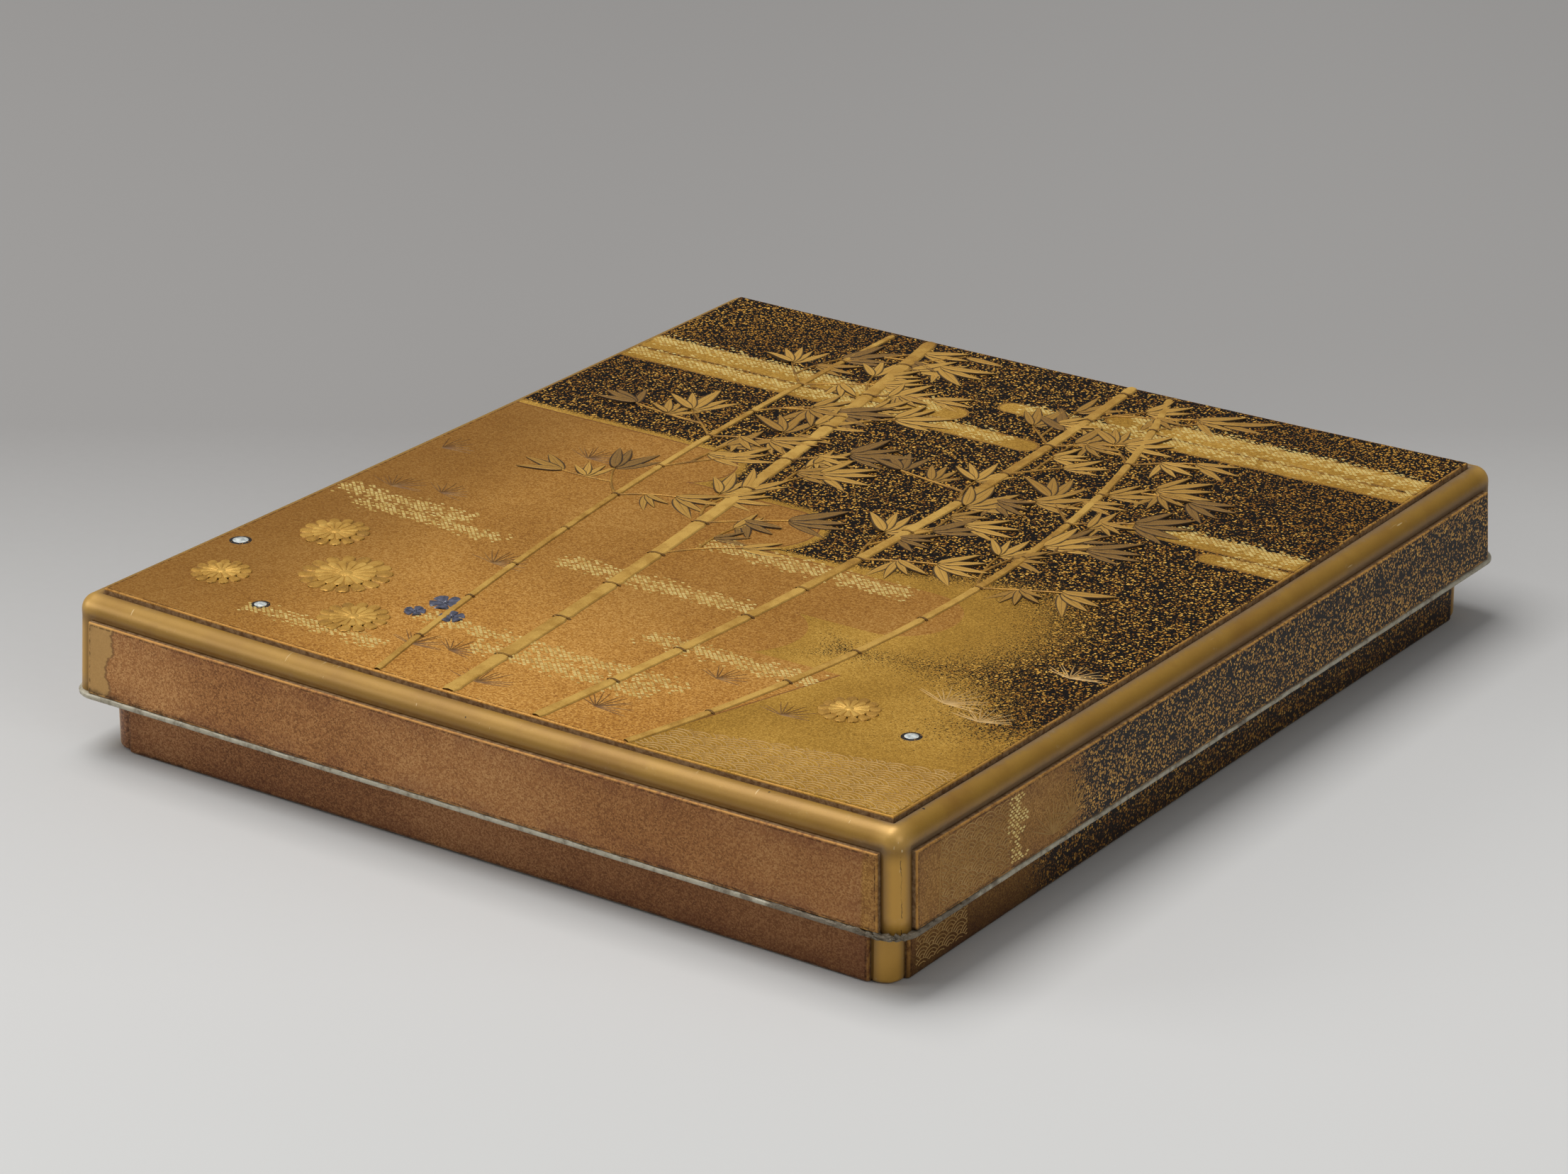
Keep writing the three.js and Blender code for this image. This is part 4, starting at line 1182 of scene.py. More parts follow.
def rounded_box(half_x, half_y, radius, x=0.0, y=0.0, runs=(6, 8), corner_steps=6):
    """The outline of a rectangle with round corners."""
    return [(x + p[0], y + p[1]) for p, _ in ring_path(half_x, half_y, radius, runs, corner_steps)]


def inset(outline, distance):
    """A closed outline moved inwards by a distance."""
    points = np.array(outline, float)
    along = np.roll(points, -1, axis=0) - np.roll(points, 1, axis=0)
    along /= np.linalg.norm(along, axis=1)[:, None] + 1e-9
    return points + np.stack([-along[:, 1], along[:, 0]], 1) * distance


def quarter(steps, start=0.0, end=math.pi / 2):
    """Angles over a quarter turn, or part of one."""
    return np.linspace(start, end, steps + 1)


def solid(outline, low, high, radius, steps=4, rise=None):
    """A slab with this outline and rounded rims. With rise, its rims slope in over a different height."""
    rise = rise or radius
    angles = [math.pi / 2 * k / steps for k in range(steps + 1)]
    levels = [(radius * (1 - math.sin(a)), low + rise * (1 - math.cos(a))) for a in angles]
    levels += [(distance, low + high - height) for distance, height in reversed(levels)]
    shape = Shape()
    loft(shape, [at_height(inset(outline, distance), height) for distance, height in levels])
    return shape


def lathe(shape, profile, x, z, sides=32, ridges=None, **marks):
    """A turned piece that lies along Y, with a profile of (y, radius). Ridges vary the radius round it."""
    rings = []
    for y, radius in profile:
        ring = []
        for m in range(sides):
            angle = 2 * math.pi * m / sides
            reach = radius * (ridges[m] if ridges else 1)
            ring.append((x + reach * math.cos(angle), y, z + reach * math.sin(angle)))
        rings.append(ring)
    loft(shape, rings, **marks)


def make_rim(name, prefix, path, section, vary):
    nodes = [f"{prefix}_rim_{side}" for side in SIDES]
    make(name, sweep_ring(path, section, vary), prefix, "pewter", nodes)


def make_rims():
    """The pewter rims of the lid and the base, each one ring with a hand-worked surface."""
    path = ring_path(LID_RIM_X, HALF_Y + LID_RIM_X - HALF_X, 6.6, (280, 320), 20)
    section = rounded_section(-LID_WALL - 0.2, 0, LID_BOTTOM, LID_RIM_TOP, 0.45)
    make_rim("lid_pewter_rim", "lid", path, section, uneven(0.16, 1.6, 3, 0.8))
    path = ring_path(BASE_X, BASE_Y, 6.0, (120, 140), 14)
    section = rounded_section(-BASE_WALL, 0, BASE_RIM_BOTTOM, BASE_RIM_TOP, 0.4)
    make_rim("base_pewter_rim", "base", path, section, uneven(0.08, 2.0, 5))


def corner_outline():
    """The plan of a base corner, in from its outer corner at 0, 0: points, and how far from a panel."""
    centre = BASE_BEAD_SET_IN + BASE_BEAD_RADIUS
    flat = BASE_MARGIN - centre
    outline, marks = [], []
    for past in np.linspace(flat, 0, GROOVE_STEPS + 1):
        outline.append((-centre - past, BASE_BEAD_SET_IN + groove(past)))
        marks.append(flat - past)
    for k in range(1, 2 * ARC_STEPS):
        turn = math.pi / 4 / ARC_STEPS
        out = (math.sin(turn * k), -math.cos(turn * k))
        outline.append((-centre + BASE_BEAD_RADIUS * out[0], centre + BASE_BEAD_RADIUS * out[1]))
        marks.append(flat + BASE_BEAD_RADIUS * turn * min(k, 2 * ARC_STEPS - k))
    outline += [(-y, -x) for x, y in reversed(outline[: GROOVE_STEPS + 1])]
    marks += reversed(marks[: GROOVE_STEPS + 1])
    wall = BASE_WALL - LINING
    outline += [(-wall, BASE_MARGIN), (-wall, wall), (-BASE_MARGIN, wall)]
    return outline, marks + [0.0, 0.0, 0.0]


def make_base_corners():
    """The four upright corner beads of the base, with a rounded foot."""
    outline, marks = corner_outline()
    heights = [FOOT_ROUND * share for share in (0, 0.1, 0.3, 0.6, 1.0)]
    heights += list(np.linspace(FOOT_ROUND, BASE_WALL_TOP + 0.2, 6)[1:])
    for index, corner in enumerate(CORNERS):
        half_x, half_y = side_sizes(index, BASE_X, BASE_Y)
        rings = []
        for z in heights:
            ring = []
            for x, y in outline:
                drawn_in = drop(z, FOOT_ROUND) * max(0.0, 1 - min(-x, y) / BASE_WALL)
                ring.append((half_x + (x - drawn_in), -half_y + (y + drawn_in), z))
            rings.append(to_side(ring, index))
        shape = Shape()
        loft(shape, rings)
        shape.marks["away"] = marks * len(heights)
        name = f"base_corner_bead_{corner}"
        make(name, shape, "base", "polished_gold_lacquer", [f"base_corner_{corner}"], form=base_form)


def make_lining(name, body, half_x, half_y, low, high, radius, form, capped=True):
    """An open box of thin lacquer skin: ceiling or floor at high, open at low, with rounded inner corners."""
    rise = math.copysign(radius, high - low)
    levels = [(low, 0.0), ((low + high) / 2, 0.0)]
    levels += [(high - rise * (1 - math.sin(a)), radius * (1 - math.cos(a))) for a in quarter(5)]
    rings = []
    for z, distance in levels:
        corner = max(0.4, radius + 1.2 - distance)
        outline = rounded_box(half_x - distance, half_y - distance, corner, 0, 0, (24, 28), 5)
        rings.append(at_height(outline, z))
    shape = Shape()
    loft(shape, rings, bottom=False, top=capped)
    make(name, shape, body, "sprinkled_dark_lacquer", form=form, thick=LINING)


# Bamboo stems: (X of the foot, heading, bend of each joint, half the width, joints without twigs)
CULMS = [
    (-8, 1.66, 0.012, 2.1, 3), (15, 1.47, 0.02, 1.6, 4), (38, 1.3, 0.06, 1.2, 4), (-27, 1.8, -0.02, 1.0, 4),
]

# Rows and drifts of cut gold on the top: (middle Y, from X, to X, half its thickness)
CUT_GOLD_DRIFTS = [
    (82.2, -103, -18, 1.4), (72.6, -103, 6, 0.9), (101.0, 26, 103, 1.4), (93.0, 0, 103, 0.8),
    (44.0, 68, 103, 1.2), (36.2, 88, 103, 0.7), (-21.0, -10, 40, 1.6), (-47.5, -30, 16, 1.3),
    (-72.0, 10, 50, 1.2), (-90.0, -36, 30, 0.6), (-96.5, -16, 26, 1.3), (-40.0, -103, -66, 0.9),
    (-45.5, -92, -52, 0.5), (-108.0, -70, -36, 0.5),
]

# Chrysanthemums: (X, Y, radius, petals)
BLOSSOMS = [
    (-66, -82, 10.5, 16), (-84, -64, 8.0, 14), (-49, -100, 8.0, 14), (-89, -97, 6.8, 13), (66, -80, 6.6, 13),
]

# Pine needles: (X, Y, heading, length)
NEEDLES = [
    (-30, -104, 1.5, 8), (-21, -102, 1.2, 7), (-6, -112, 1.6, 8), (22, -108, 1.3, 8), (-92, -34, 1.5, 8),
    (-80, -31, 1.2, 7), (34, -82, 1.4, 7), (-98, -8, 1.6, 8), (80, -66, 1.4, 9), (91, -70, 1.7, 8),
    (-44, -58, 1.4, 8), (56, -90, 1.5, 7), (94, -40, 1.6, 8), (-66, 6, 1.4, 8),
]
NEEDLE_TONE_ON_GOLD, NEEDLE_TONE_ON_DARK = 0.05, 0.8

# Small blue flowers and round pearl inlays: (X, Y, radius)
BLUE_FLOWERS = [(-38, -82, 3.6), (-32, -87.5, 2.8), (-40.5, -89.5, 2.4)]
PEARLS = [(-98, -80, 1.9), (-70, -106, 1.5), (84, -84, 1.6)]
PEARL_RING = 0.7


def draw_scatter(chance, stems, lines, plates):
    """Chrysanthemums, pine needles, waves and drifts of cut gold."""
    for u, v, radius, petals in BLOSSOMS:
        blossom(stems, (u, v), radius, petals, chance.uniform(0, 1))
    for u, v, heading, length in NEEDLES:
        on_gold = band_distance(u, v, MAIN_FIELD) < 0
        tone = NEEDLE_TONE_ON_GOLD if on_gold else NEEDLE_TONE_ON_DARK
        needles(lines, chance, (u, v), heading, length, tone)
    waves(lines, (36, -120), (104, -92), 4.2, lambda u, v: v < wave_edge(u) - 0.4 and past_waves(u, v) > 0.8)
    cut_gold(plates, chance, CUT_GOLD_DRIFTS, 3.6)


def make_artwork():
    """The relief on the lid's top: bamboo, chrysanthemums, pine needles, waves, cut gold and inlays."""
    chance = random.Random(11)
    low, high = (-TOP_EDGE_X, -TOP_EDGE_Y), (TOP_EDGE_X, TOP_EDGE_Y)
    stems, leaves, lines, plates, flowers, pearls, rings = (Drawing(low, high) for _ in range(7))
    for x, heading, bend, width, bare in CULMS:
        culm(stems, leaves, chance, (x, 0.15 - TOP_EDGE_Y), heading, bend, width, bare)
    draw_scatter(chance, stems, lines, plates)
    for u, v, radius in BLUE_FLOWERS:
        blossom(flowers, (u, v), radius, 5, chance.uniform(0, 1))
    for u, v, radius in PEARLS:
        dome(rings, (u, v), radius + PEARL_RING, 0.16, 0.5)
        dome(pearls, (u, v), radius, 0.36, 0.5)
    pieces = {
        "relief_stems": (stems, "raised_gold"),
        "relief_leaves": (leaves, "leaf_gold"),
        "cut_gold": (plates, "cut_gold_leaf"),
        "engraved_lines": (lines, "line_gold"),
        "blue_inlays": (flowers, "blue_glaze"),
        "pearl_inlays": (pearls, "pearl_glaze"),
        "pearl_rings": (rings, "black_lacquer"),
    }
    for name, (shape, finish) in pieces.items():
        shape.move(lambda u, v, height: (u, v, TOP + height))
        make(name, shape, "lid", "gold_and_dark_lacquer", finish=finish, form=lid_form, sharp=30)


def make_on_right(name, drawing, body, away, finish, form):
    """A drawing laid on a right side wall, with u to the back and v up."""
    drawing.move(lambda u, v, height: (away + height, u, v))
    make(name, drawing, body, "brown_gold_lacquer", finish=finish, form=form, sharp=30)


def make_side_artwork():
    """Waves, a patch of cut gold and needles on the right side, near the front corner, of lid and base."""
    chance = random.Random(23)
    low, high = LID_RIM_TOP + 0.6, WALL_TOP - 0.3
    lines, plates = (Drawing((-118.6, low), (-50, high)) for _ in range(2))
    waves(lines, (-111, low), (-84, high), 3.4, lambda u, v: -111 < u < -86)
    needles(lines, chance, (-70, low + 1.5), 1.4, 9, 0.5)
    needles(lines, chance, (-63, low + 3.0), 1.7, 8, 0.5)
    border = [(-111.6, low + 0.8), (-111.3, (low + high) / 2), (-110.8, high - 0.6)]
    ribbon(lines, border, [0.16] * 3, 0.12, LINE_SECTION)
    rows = [(low + 1.0 + k * 1.4, -85.2, -81.0 + chance.uniform(-2, 1.5), 0.3) for k in range(11)]
    cut_gold(plates, chance, rows, 1.3)
    make_on_right("side_lines", lines, "lid", HALF_X, "line_gold", lid_form)
    make_on_right("side_cut_gold", plates, "lid", HALF_X, "cut_gold_leaf", lid_form)
    base_lines = Drawing((-113.4, 1.2), (-60, BASE_WALL_TOP))
    waves(base_lines, (-113, 1.2), (-90, 20), 3.4, lambda u, v: -112 < u < -93 and v < 20)
    make_on_right("base_side_lines", base_lines, "base", BASE_X, "line_gold", base_form)


def middle(node):
    """The middle of a CAD node, and half its size."""
    low, high = box_mm(node)
    return (low + high) / 2, (high - low) / 2


def make_tray(side):
    """A tray with rounded corners, a filleted floor and a gold line on its rim."""
    parts = ("floor", "wall_left", "wall_right", "wall_front", "wall_back")
    nodes = [f"{side}_tray_{part}" for part in parts]
    (x, y, _), (half_x, half_y, _) = middle(nodes[0])
    (_, _, bottom), (_, _, board_top) = box_mm(nodes[0])
    (wall_start, _, _), (wall_end, _, top) = box_mm(nodes[1])
    floor, wall = board_top + 0.05, wall_end - wall_start
    rim, fillet = 1.3, 1.5
    levels = [(0.5, bottom, 0), (0.1, bottom + 0.15, 0), (0.0, bottom + 0.6, 0), (0.0, top - 1.2, 0)]
    levels += [(rim * (1 - math.cos(a)), top - 1.0 + math.sin(a), 1) for a in np.linspace(0, math.pi, 9)]
    levels += [(wall, top - 1.2, 0), (wall, floor + 1.6, 0)]
    for a in quarter(4, 0.3, 1.57):
        levels.append((wall + fillet * (1 - math.cos(a)), floor + fillet * (1 - math.sin(a)), 0))
    rings = []
    for distance, z, _ in levels:
        corner = max(0.8, 2.4 - distance * 0.6)
        rings.append(at_height(rounded_box(half_x - distance, half_y - distance, corner, x, y), z))
    shape = Shape()
    loft(shape, rings, gilt=[gilt for _, _, gilt in levels])
    make(f"{side}_tray", shape, f"{side}_tray", "black_lacquer", nodes)


def make_brush_rests():
    """The two rests, each a bar with a smooth hollow for each brush."""
    for node in ("brush_rest_front", "brush_rest_back"):
        (left, front, bottom), (right, back, top) = box_mm(node)
        outline = [(left, bottom), (right, bottom), (right, top - 0.8), (right - 0.8, top)]
        for brush in ("small_brush_shaft", "large_brush_shaft"):
            (x, _, z), (radius, _, _) = middle(brush)
            hollow = radius + 0.25
            reach = math.acos(min(1, (z - top) / hollow + 0.12))
            for a in np.linspace(-reach, reach, 13):
                outline.append((x - hollow * math.sin(a), z - hollow * math.cos(a)))
        outline += [(left + 0.8, top), (left, top - 0.8)]
        shape = solid(outline, -back, -front, 0.35, 3)
        shape.move(lambda u, v, w: (u, -w, v))
        make(node, shape, "left_tray", "black_lacquer", [node], sharp=50)


def make_inkstone():
    """The inkstone: softened rims, and a flat that slopes down to a well at the back."""
    (x, y, _), (half_x, half_y, _) = middle("inkstone")
    (_, _, bottom), (_, _, top) = box_mm("inkstone")
    border, corner, sunk, deep = 6.0, 5.0, 1.2, 7.5
    slope_start, slope_end = y + half_y - border - 48.0, y + half_y - border - 26.0

    def floor_at(v):
        share = min(1.0, max(0.0, (v - slope_start) / (slope_end - slope_start)))
        return top - sunk - (deep - sunk) * share * share * (3 - 2 * share)

    def outline(distance):
        radius = max(1.2, corner - distance * 0.4)
        return rounded_box(half_x - distance, half_y - distance, radius, x, y, (12, 60), 8)

    foot, rim, lip = 0.9, 1.1, 0.5
    levels = [(foot * (1 - math.sin(a)), bottom + foot * (1 - math.cos(a))) for a in quarter(5)]
    levels += [(rim * (1 - math.cos(a)), top - rim + rim * math.sin(a)) for a in quarter(5)]
    levels += [(border - lip + lip * math.sin(a), top - lip * (1 - math.cos(a))) for a in quarter(5)]
    rings = [at_height(outline(distance), z) for distance, z in levels]
    for share, distance in ((0.35, 0.15), (0.7, 0.45), (0.9, 1.0), (1.0, 1.9)):
        edge = outline(border + distance)
        rings.append([(u, v, top - lip + (floor_at(v) - top + lip) * share) for u, v in edge])
    rings += [[(x + (u - x) * share, v, z) for u, v, z in rings[-1]] for share in (0.7, 0.35, 0.0)]
    shape = Shape()
    loft(shape, rings, top=False)
    make("inkstone_body", shape, "stone", "slate", ["inkstone"], sharp=60)


def make_water_dropper():
    """The water dropper: a rounded silver block on a plate, with an air hole in the middle of its top."""
    (x, y, _), (half_x, half_y, _) = middle("water_dropper_shell")
    (_, _, bottom), (_, _, top) = box_mm("water_dropper_shell")
    (_, _, plate_bottom), (_, _, plate_top) = box_mm("water_dropper_plate")
    outline = rounded_box(half_x, half_y, 7.0, x, y, (12, 10), 8)
    plate = solid(outline, plate_bottom, plate_top, 0.35, 3)
    make("dropper_plate", plate, "water_dropper", "silver", ["water_dropper_plate"])
    shoulder, hole = 2.0, 1.1
    levels = [(0.3, bottom), (0.0, bottom + 0.3), (0.0, top - shoulder)]
    for a in quarter(6, 0.2, 1.57):
        levels.append((shoulder * (1 - math.cos(a)), top - shoulder + shoulder * math.sin(a)))
    rings = [at_height(inset(outline, distance), z) for distance, z in levels]
    edge = rings[-1]
    for share, z in ((0.35, top), (0.75, top), (0.97, top), (1.0, top - 0.1), (1.0, top - 1.0)):
        ring = []
        for u, v, _ in edge:
            angle = math.atan2(v - y, u - x)
            to_u, to_v = x + hole * math.cos(angle), y + hole * math.sin(angle)
            ring.append((u + (to_u - u) * share, v + (to_v - v) * share, z))
        rings.append(ring)
    shell = Shape()
    loft(shell, rings)
    make("dropper_shell", shell, "water_dropper", "silver", ["water_dropper_shell"], sharp=50)
    make_dropper_flower(x, y, top)
    make_dropper_spout(x - half_x + 7.0, y - half_y + 7.0, top)


def make_dropper_flower(x, y, top, petals=24):
    """A flower in relief round the air hole."""
    flower = Shape()
    for k in range(petals):
        angle = 2 * math.pi * k / petals
        path = [(x + r * math.cos(angle), y + r * math.sin(angle)) for r in (2.0, 5.0, 9.0, 11.6, 12.6)]
        ribbon(flower, path, [0.25, 0.62, 1.1, 0.95, 0.15], 0.5, ROUND_SECTION, 0.02, 0.5)
    flower.move(lambda u, v, w: (u, v, top + w))
    make("dropper_flower", flower, "water_dropper", "silver")


def make_dropper_spout(x, y, top):
    """The pouring hole, in a turned collar, with a black disc laid in it as painted shade."""
    profile = [(2.9, -0.1), (2.5, 0.5), (2.2, 1.1), (1.8, 1.35), (1.3, 1.3), (1.1, 1.0), (1.05, 0.15)]
    spout, hole = Shape(), Shape()
    lathe(spout, [(-height, radius) for radius, height in profile], x, 0, 28)
    spout.move(lambda u, v, w: (u, y + w, top - v))
    make("dropper_spout", spout, "water_dropper", "silver", sharp=50)
    # Painted shade: a black disc stands for the dark inside of the hole.
    dome(hole, (x, y), 1.04, 0.02, 0.5)
    hole.move(lambda u, v, w: (u, v, top + 0.2 + w))
    make("dropper_spout_shade_disc", hole, "water_dropper", "silver", finish="black_lacquer")


def make_brush(name):
    """A writing brush: a slim bamboo handle with a horn cap and collar, and a tip of ridged hair."""
    (x, _, z), (radius, _, _) = middle(f"{name}_shaft")
    (_, start, _), (_, end, _) = box_mm(f"{name}_shaft")
    thin = radius * 0.93
    from_start = [
        (0, radius * 0.8, 1), (0.3, radius, 1), (5.5, radius, 1), (6.0, thin, 1),
        (6.4, thin, 0), (8.6, thin, 0), (8.9, thin - 0.15, 1), (9.3, thin, 0),
    ]
    from_end = [
        (9.0, thin, 0), (8.6, thin * 1.05, 1), (2.6, thin * 1.02, 1), (1.6, thin * 0.8, 1),
        (0.8, thin * 0.45, 1), (0.2, thin * 0.4, 1), (0, thin * 0.2, 1),
    ]
    profile = [(start + distance, width, horn) for distance, width, horn in from_start]
    profile += [(start + k * (end - start) / 8, thin - 0.02 * k, 0) for k in range(1, 8)]
    profile += [(end - distance, width, horn) for distance, width, horn in from_end]
    handle = Shape()
    lathe(handle, [(y, width) for y, width, _ in profile], x, z, 36, gilt=[horn for _, _, horn in profile])
    make(f"{name}_handle", handle, name, "bamboo", [f"{name}_shaft"])
    make_brush_hair(name, radius)


def make_brush_hair(name, radius, sides=72, rings=14):
    """Three layers of hair, each with ridges of its own, that come to a point."""
    chance = random.Random(name.removesuffix("_brush"))
    (x, _, z), (_, half, _) = middle(f"{name}_tip")
    root = box_mm(f"{name}_tip")[1][1] + 0.2
    shares = [k / rings for k in range(rings + 1)]
    belly = [1 + 0.1 * math.sin(math.pi * min(1, 2 * share)) for share in shares]
    taper = [math.sqrt(max(0.0004, 1 - share**1.7)) for share in shares]
    widths = [radius * 0.93 * b * t for b, t in zip(belly, taper)]
    tip = Shape()
    for layer in range(3):
        ridges = [1 - 0.05 * layer + chance.uniform(-0.05, 0.05) for _ in range(sides)]
        reach = 2 * half * (1 - 0.05 * layer)
        lathe(tip, [(root - share * reach, w) for share, w in zip(shares, widths)], x, z, sides, ridges)
    make(f"{name}_hair", tip, name, "brush_hair", [f"{name}_tip"], sharp=70)


def make_paper_knife():
    """The paper knife: a rounded lacquer handle with a gilt collar and a bevelled blade."""
    (x, y, z), (half_x, half_y, half_z) = middle("paper_knife_handle")
    outline = rounded_box(half_x, half_y, 4.0, x, y, (4, 14), 8)
    handle = solid(outline, z - half_z, z + half_z, 2.4, 6)
    collar_end = y - half_y + 9.0
    handle.marks["gilt"] = [1.0 if v < collar_end else 0.0 for _, v, _ in handle.points]
    make("paper_knife_grip", handle, "paper_knife", "black_lacquer", ["paper_knife_handle"], sharp=60)
    (left, tip, bottom), (right, root, top) = box_mm("paper_knife_blade")
    outline = [(left, root), (left, tip), (right, tip + 26.0), (right, root)]
    blade = solid(outline, bottom, top, 1.3, 1, rise=(top - bottom) / 2 - 0.05)
    make("paper_knife_edge", blade, "paper_knife", "steel", ["paper_knife_blade"], sharp=12)


def make_awl():
    """The awl: a turned handle with a gilt ferrule, and a tapered spike."""
    (x, _, z), (_, _, radius) = middle("awl_handle")
    (_, start, _), (_, end, _) = box_mm("awl_handle")
    profile = [
        (0, 0.55), (0.004, 0.72), (0.06, 0.74), (0.065, 0.66), (0.075, 0.64), (0.09, 0.78), (0.3, 0.86),
        (0.6, 0.97), (0.85, 1.0), (0.93, 0.97), (0.97, 0.84), (0.99, 0.55), (1.0, 0.2),
    ]
    gilt = [1.0 if share < 0.07 else 0.0 for share, _ in profile]
    handle, spike = Shape(), Shape()
    lathe(handle, [(start + share * (end - start), radius * r) for share, r in profile], x, z, 36, gilt=gilt)
    make("awl_grip", handle, "awl", "black_lacquer", ["awl_handle"])
    (x, _, z), (width, _, _) = middle("awl_spike")
    (_, tip, _), (_, root, _) = box_mm("awl_spike")
    sizes = [(tip, 0.04), (tip + 2, 0.3), (tip + 6, 0.7), (tip + 12, 1.0), (root - 0.2, 1.0)]
    lathe(spike, [(y, width * r) for y, r in sizes], x, z, 20)
    make("awl_point", spike, "awl", "steel", ["awl_spike"])


def make_ink_stick():
    """The ink stick: moulded with a raised border, and a gilt flower on its face."""
    (x, y, z), (half_x, half_y, half_z) = middle("ink_stick")
    outline = rounded_box(half_x, half_y, 2.0, x, y, (4, 10), 5)
    top = z + half_z
    make("ink_stick_body", solid(outline, z - half_z, top, 0.9), "ink", "ink", ["ink_stick"])
    border, flower = Shape(), Shape()
    path = [tuple(point) for point in inset(outline, 2.0)]
    ribbon(border, [*path, path[0]], [0.5] * (len(path) + 1), 0.4, ROUND_SECTION)
    blossom(flower, (x, y + 14), 3.6, 5, 0.3)
    blossom(flower, (x, y + 2), 2.6, 5, 0.9)
    for shape in (border, flower):
        shape.move(lambda u, v, w: (u, v, top + w))
    make("ink_stick_border", border, "ink", "ink", sharp=60)
    make("ink_stick_flower", flower, "ink", "ink", finish="raised_gold")


def make_contents():
    """What lies in the box."""
    make_tray("left")
    make_tray("right")
    make_brush_rests()
    make_inkstone()
    make_water_dropper()
    make_brush("large_brush")
    make_brush("small_brush")
    make_paper_knife()
    make_awl()
    make_ink_stick()


def mix_finishes():
    """Every finish: those of the record's slots, then those that some pieces have of their own."""
    inside = dark_sprinkle()
    FINISHES.update(
        gold_and_dark_lacquer=inside,
        polished_gold_lacquer=bead_gold(),
        brown_gold_lacquer=inside,
        sprinkled_dark_lacquer=inside,
        black_lacquer=black_lacquer(),
        pewter=pewter(),
        slate=slate(),
        silver=silver(),
        bamboo=bamboo(),
        brush_hair=brush_hair(),
        steel=steel(),
        ink=ink(),
        top=top_ground(),
        lid_wall=wall_ground("lid_wall_ground", LID_TONES, LID_RIGHT_TONES, 46, LID_RIM_TOP, 0.2, 0.8),
        base_wall=wall_ground("base_wall_ground", BASE_TONES, BASE_RIGHT_TONES, 52, 0),
        raised_gold=raised_gold(),
        leaf_gold=leaf_gold(),
        line_gold=line_gold(),
        cut_gold_leaf=cut_gold_leaf(),
        blue_glaze=glazed_inlay("blue_glaze", (46, 48, 62), (86, 88, 106)),
        pearl_glaze=glazed_inlay("pearl_glaze", (150, 156, 156), (216, 220, 214)),
    )


def dress_nodes():
    """Gives each CAD node that still shows a finish by its slot."""
    slots = {part["node"]: part["material_slot"] for part in frame["record"]["subparts"]}
    for name, node in frame["nodes"].items():
        node.data.materials.clear()
        node.data.materials.append(FINISHES[slots[name]])


def make_box():
    """The walls, mouldings, rims and linings of the lid and the base."""
    make_lid_top()
    make_lid_moulding()
    lid_foot, base_head = LID_RIM_TOP + SEAM, BASE_RIM_BOTTOM - SEAM
    make_walls("lid", HALF_X, HALF_Y, lid_foot, WALL_TOP, LID_MARGIN, LID_WALL - 0.4, 0.3, lid_form)
    make_walls("base", BASE_X, BASE_Y, 0.0, base_head, BASE_MARGIN, BASE_WALL - 0.4, 0.7, base_form)
    make_base_corners()
    make_rims()
    half_x, half_y = HALF_X - LID_WALL + LINING, HALF_Y - LID_WALL + LINING
    make_lining("lid_lining", "lid", half_x, half_y, LID_RIM_TOP, WALL_TOP + LINING, 1.2, lid_form)
    half_x, half_y = BASE_X - BASE_WALL + LINING, BASE_Y - BASE_WALL + LINING
    make_lining("base_lining", "base", half_x, half_y, BASE_WALL_TOP, FLOOR_TOP, 0.4, base_form, capped=False)


# Camera: worked out from the photograph's straight edges
CAMERA_PLACE = Vector((0.6020, -0.8684, 0.4529))
CAMERA_AIM = Vector((-0.03554, 0.04159, 0.0))
CAMERA_LENS = 116.05
SENSOR_WIDTH = 36.0


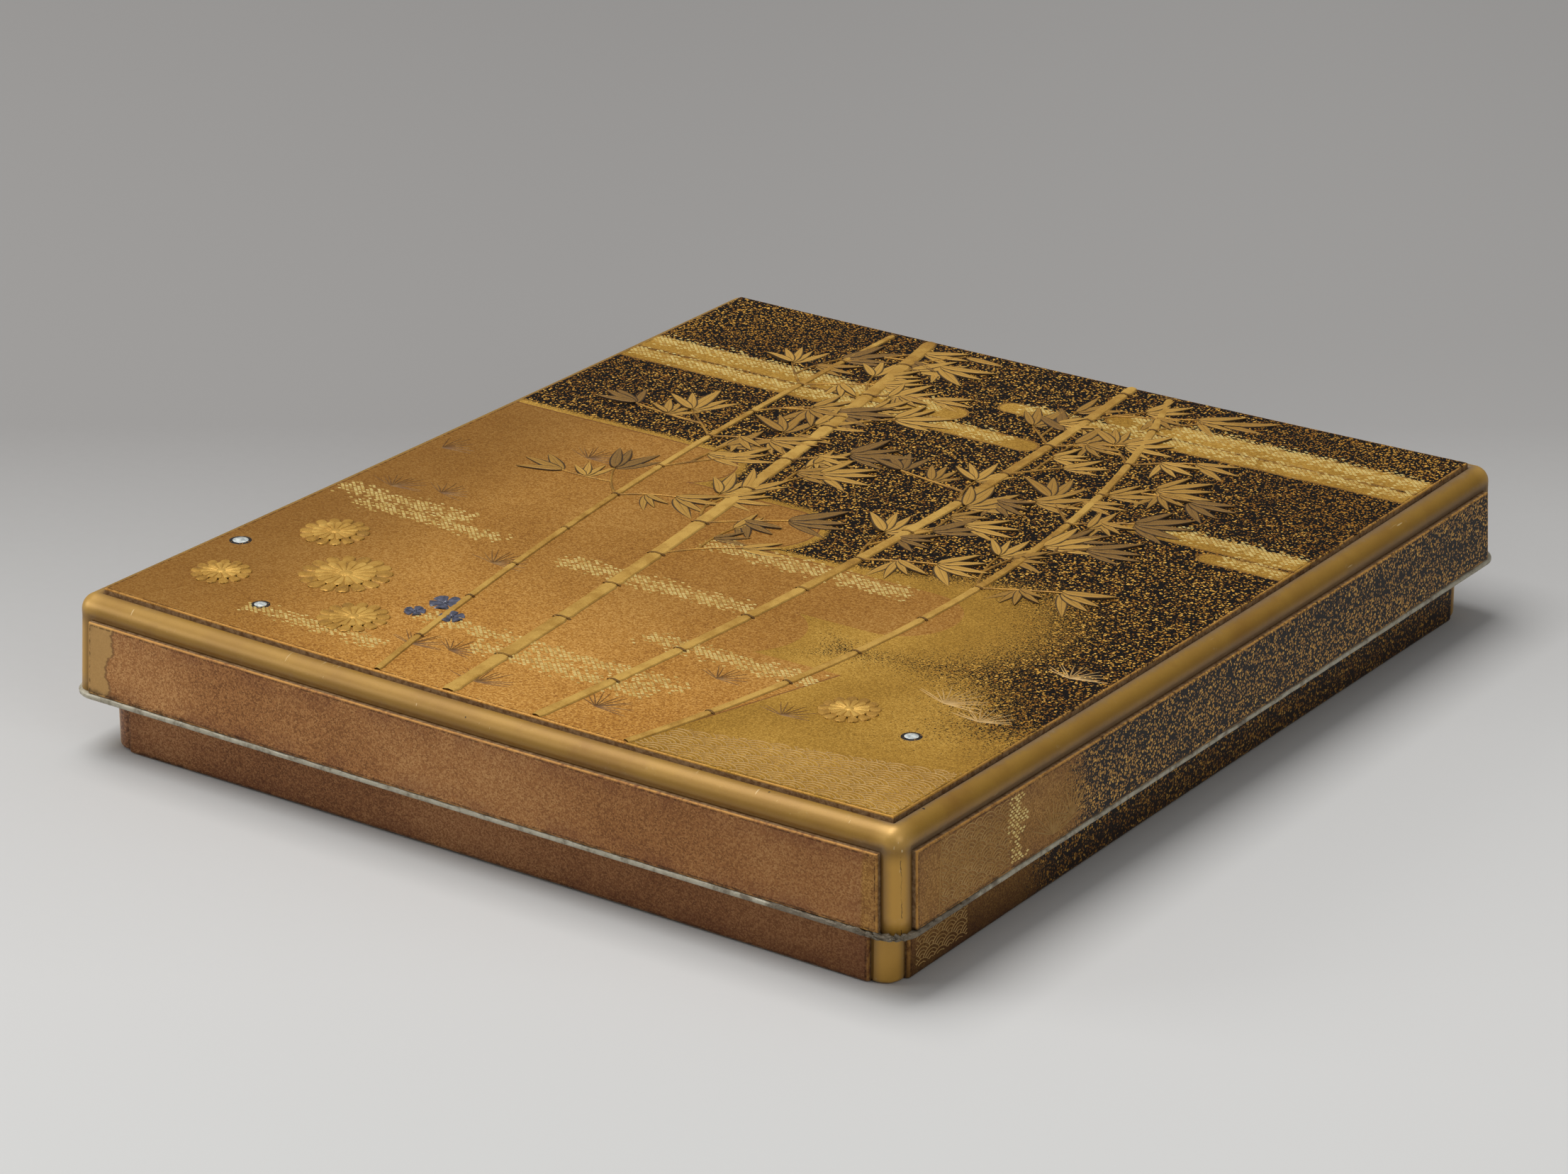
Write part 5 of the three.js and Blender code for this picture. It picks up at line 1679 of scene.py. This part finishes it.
def put(name, data, place, aim):
    """Puts a camera or a lamp in the scene, pointed at a place."""
    item = bpy.data.objects.new(name, data)
    item.location = place
    item.rotation_euler = (Vector(aim) - Vector(place)).to_track_quat("-Z", "Y").to_euler()
    bpy.context.scene.collection.objects.link(item)
    return item


def make_camera():
    data = bpy.data.cameras.new("camera")
    data.lens = CAMERA_LENS
    data.sensor_width = SENSOR_WIDTH
    data.clip_start, data.clip_end = 0.01, 50.0
    bpy.context.scene.camera = put("camera", data, CAMERA_PLACE, CAMERA_AIM)


def make_lamp(name, place, aim, width, length, power):
    """A rectangular soft box that points at a place."""
    data = bpy.data.lights.new(name, "AREA")
    data.shape = "RECTANGLE"
    data.size, data.size_y = width, length
    data.energy = power
    put(name, data, place, aim)


def make_stage():
    """The paper floor, the soft boxes and the grey room."""
    bpy.ops.mesh.primitive_plane_add(size=8.0)
    floor = bpy.context.object
    floor.name = "floor"
    floor.location.z = -0.0001
    floor.data.materials.append(floor_paper())
    make_lamp("key_box", (-0.62, -0.3, 2.08), (-0.62, -0.3, 0), 1.3, 1.9, 44.6)
    make_lamp("left_box", (-1.35, -0.98, 0.7), (0, 0, 0), 0.9, 0.7, 8.6)
    make_lamp("right_box", (1.5, -0.6, 0.9), (0, 0, 0), 1.0, 0.8, 5.2)
    make_world()


def make_world():
    """Even light from above, dimmer towards the horizon."""
    world = bpy.data.worlds.new("world")
    world.use_nodes = True
    nodes, links = world.node_tree.nodes, world.node_tree.links
    place = nodes.new("ShaderNodeTexCoord")
    split = nodes.new("ShaderNodeSeparateXYZ")
    ramp = nodes.new("ShaderNodeValToRGB")
    links.new(place.outputs["Generated"], split.inputs[0])
    links.new(split.outputs["Z"], ramp.inputs[0])
    links.new(ramp.outputs[0], nodes["Background"].inputs[0])
    low, high = ramp.color_ramp.elements
    low.position, low.color = 0.45, (0.12, 0.12, 0.12, 1)
    high.position, high.color = 0.9, (0.46, 0.465, 0.475, 1)
    nodes["Background"].inputs[1].default_value = 1.0
    bpy.context.scene.world = world


def main():
    bpy.context.scene.view_settings.view_transform = "Standard"
    make_camera()
    make_stage()
    mix_finishes()
    dress_nodes()
    make_box()
    make_artwork()
    make_side_artwork()
    make_contents()


main()
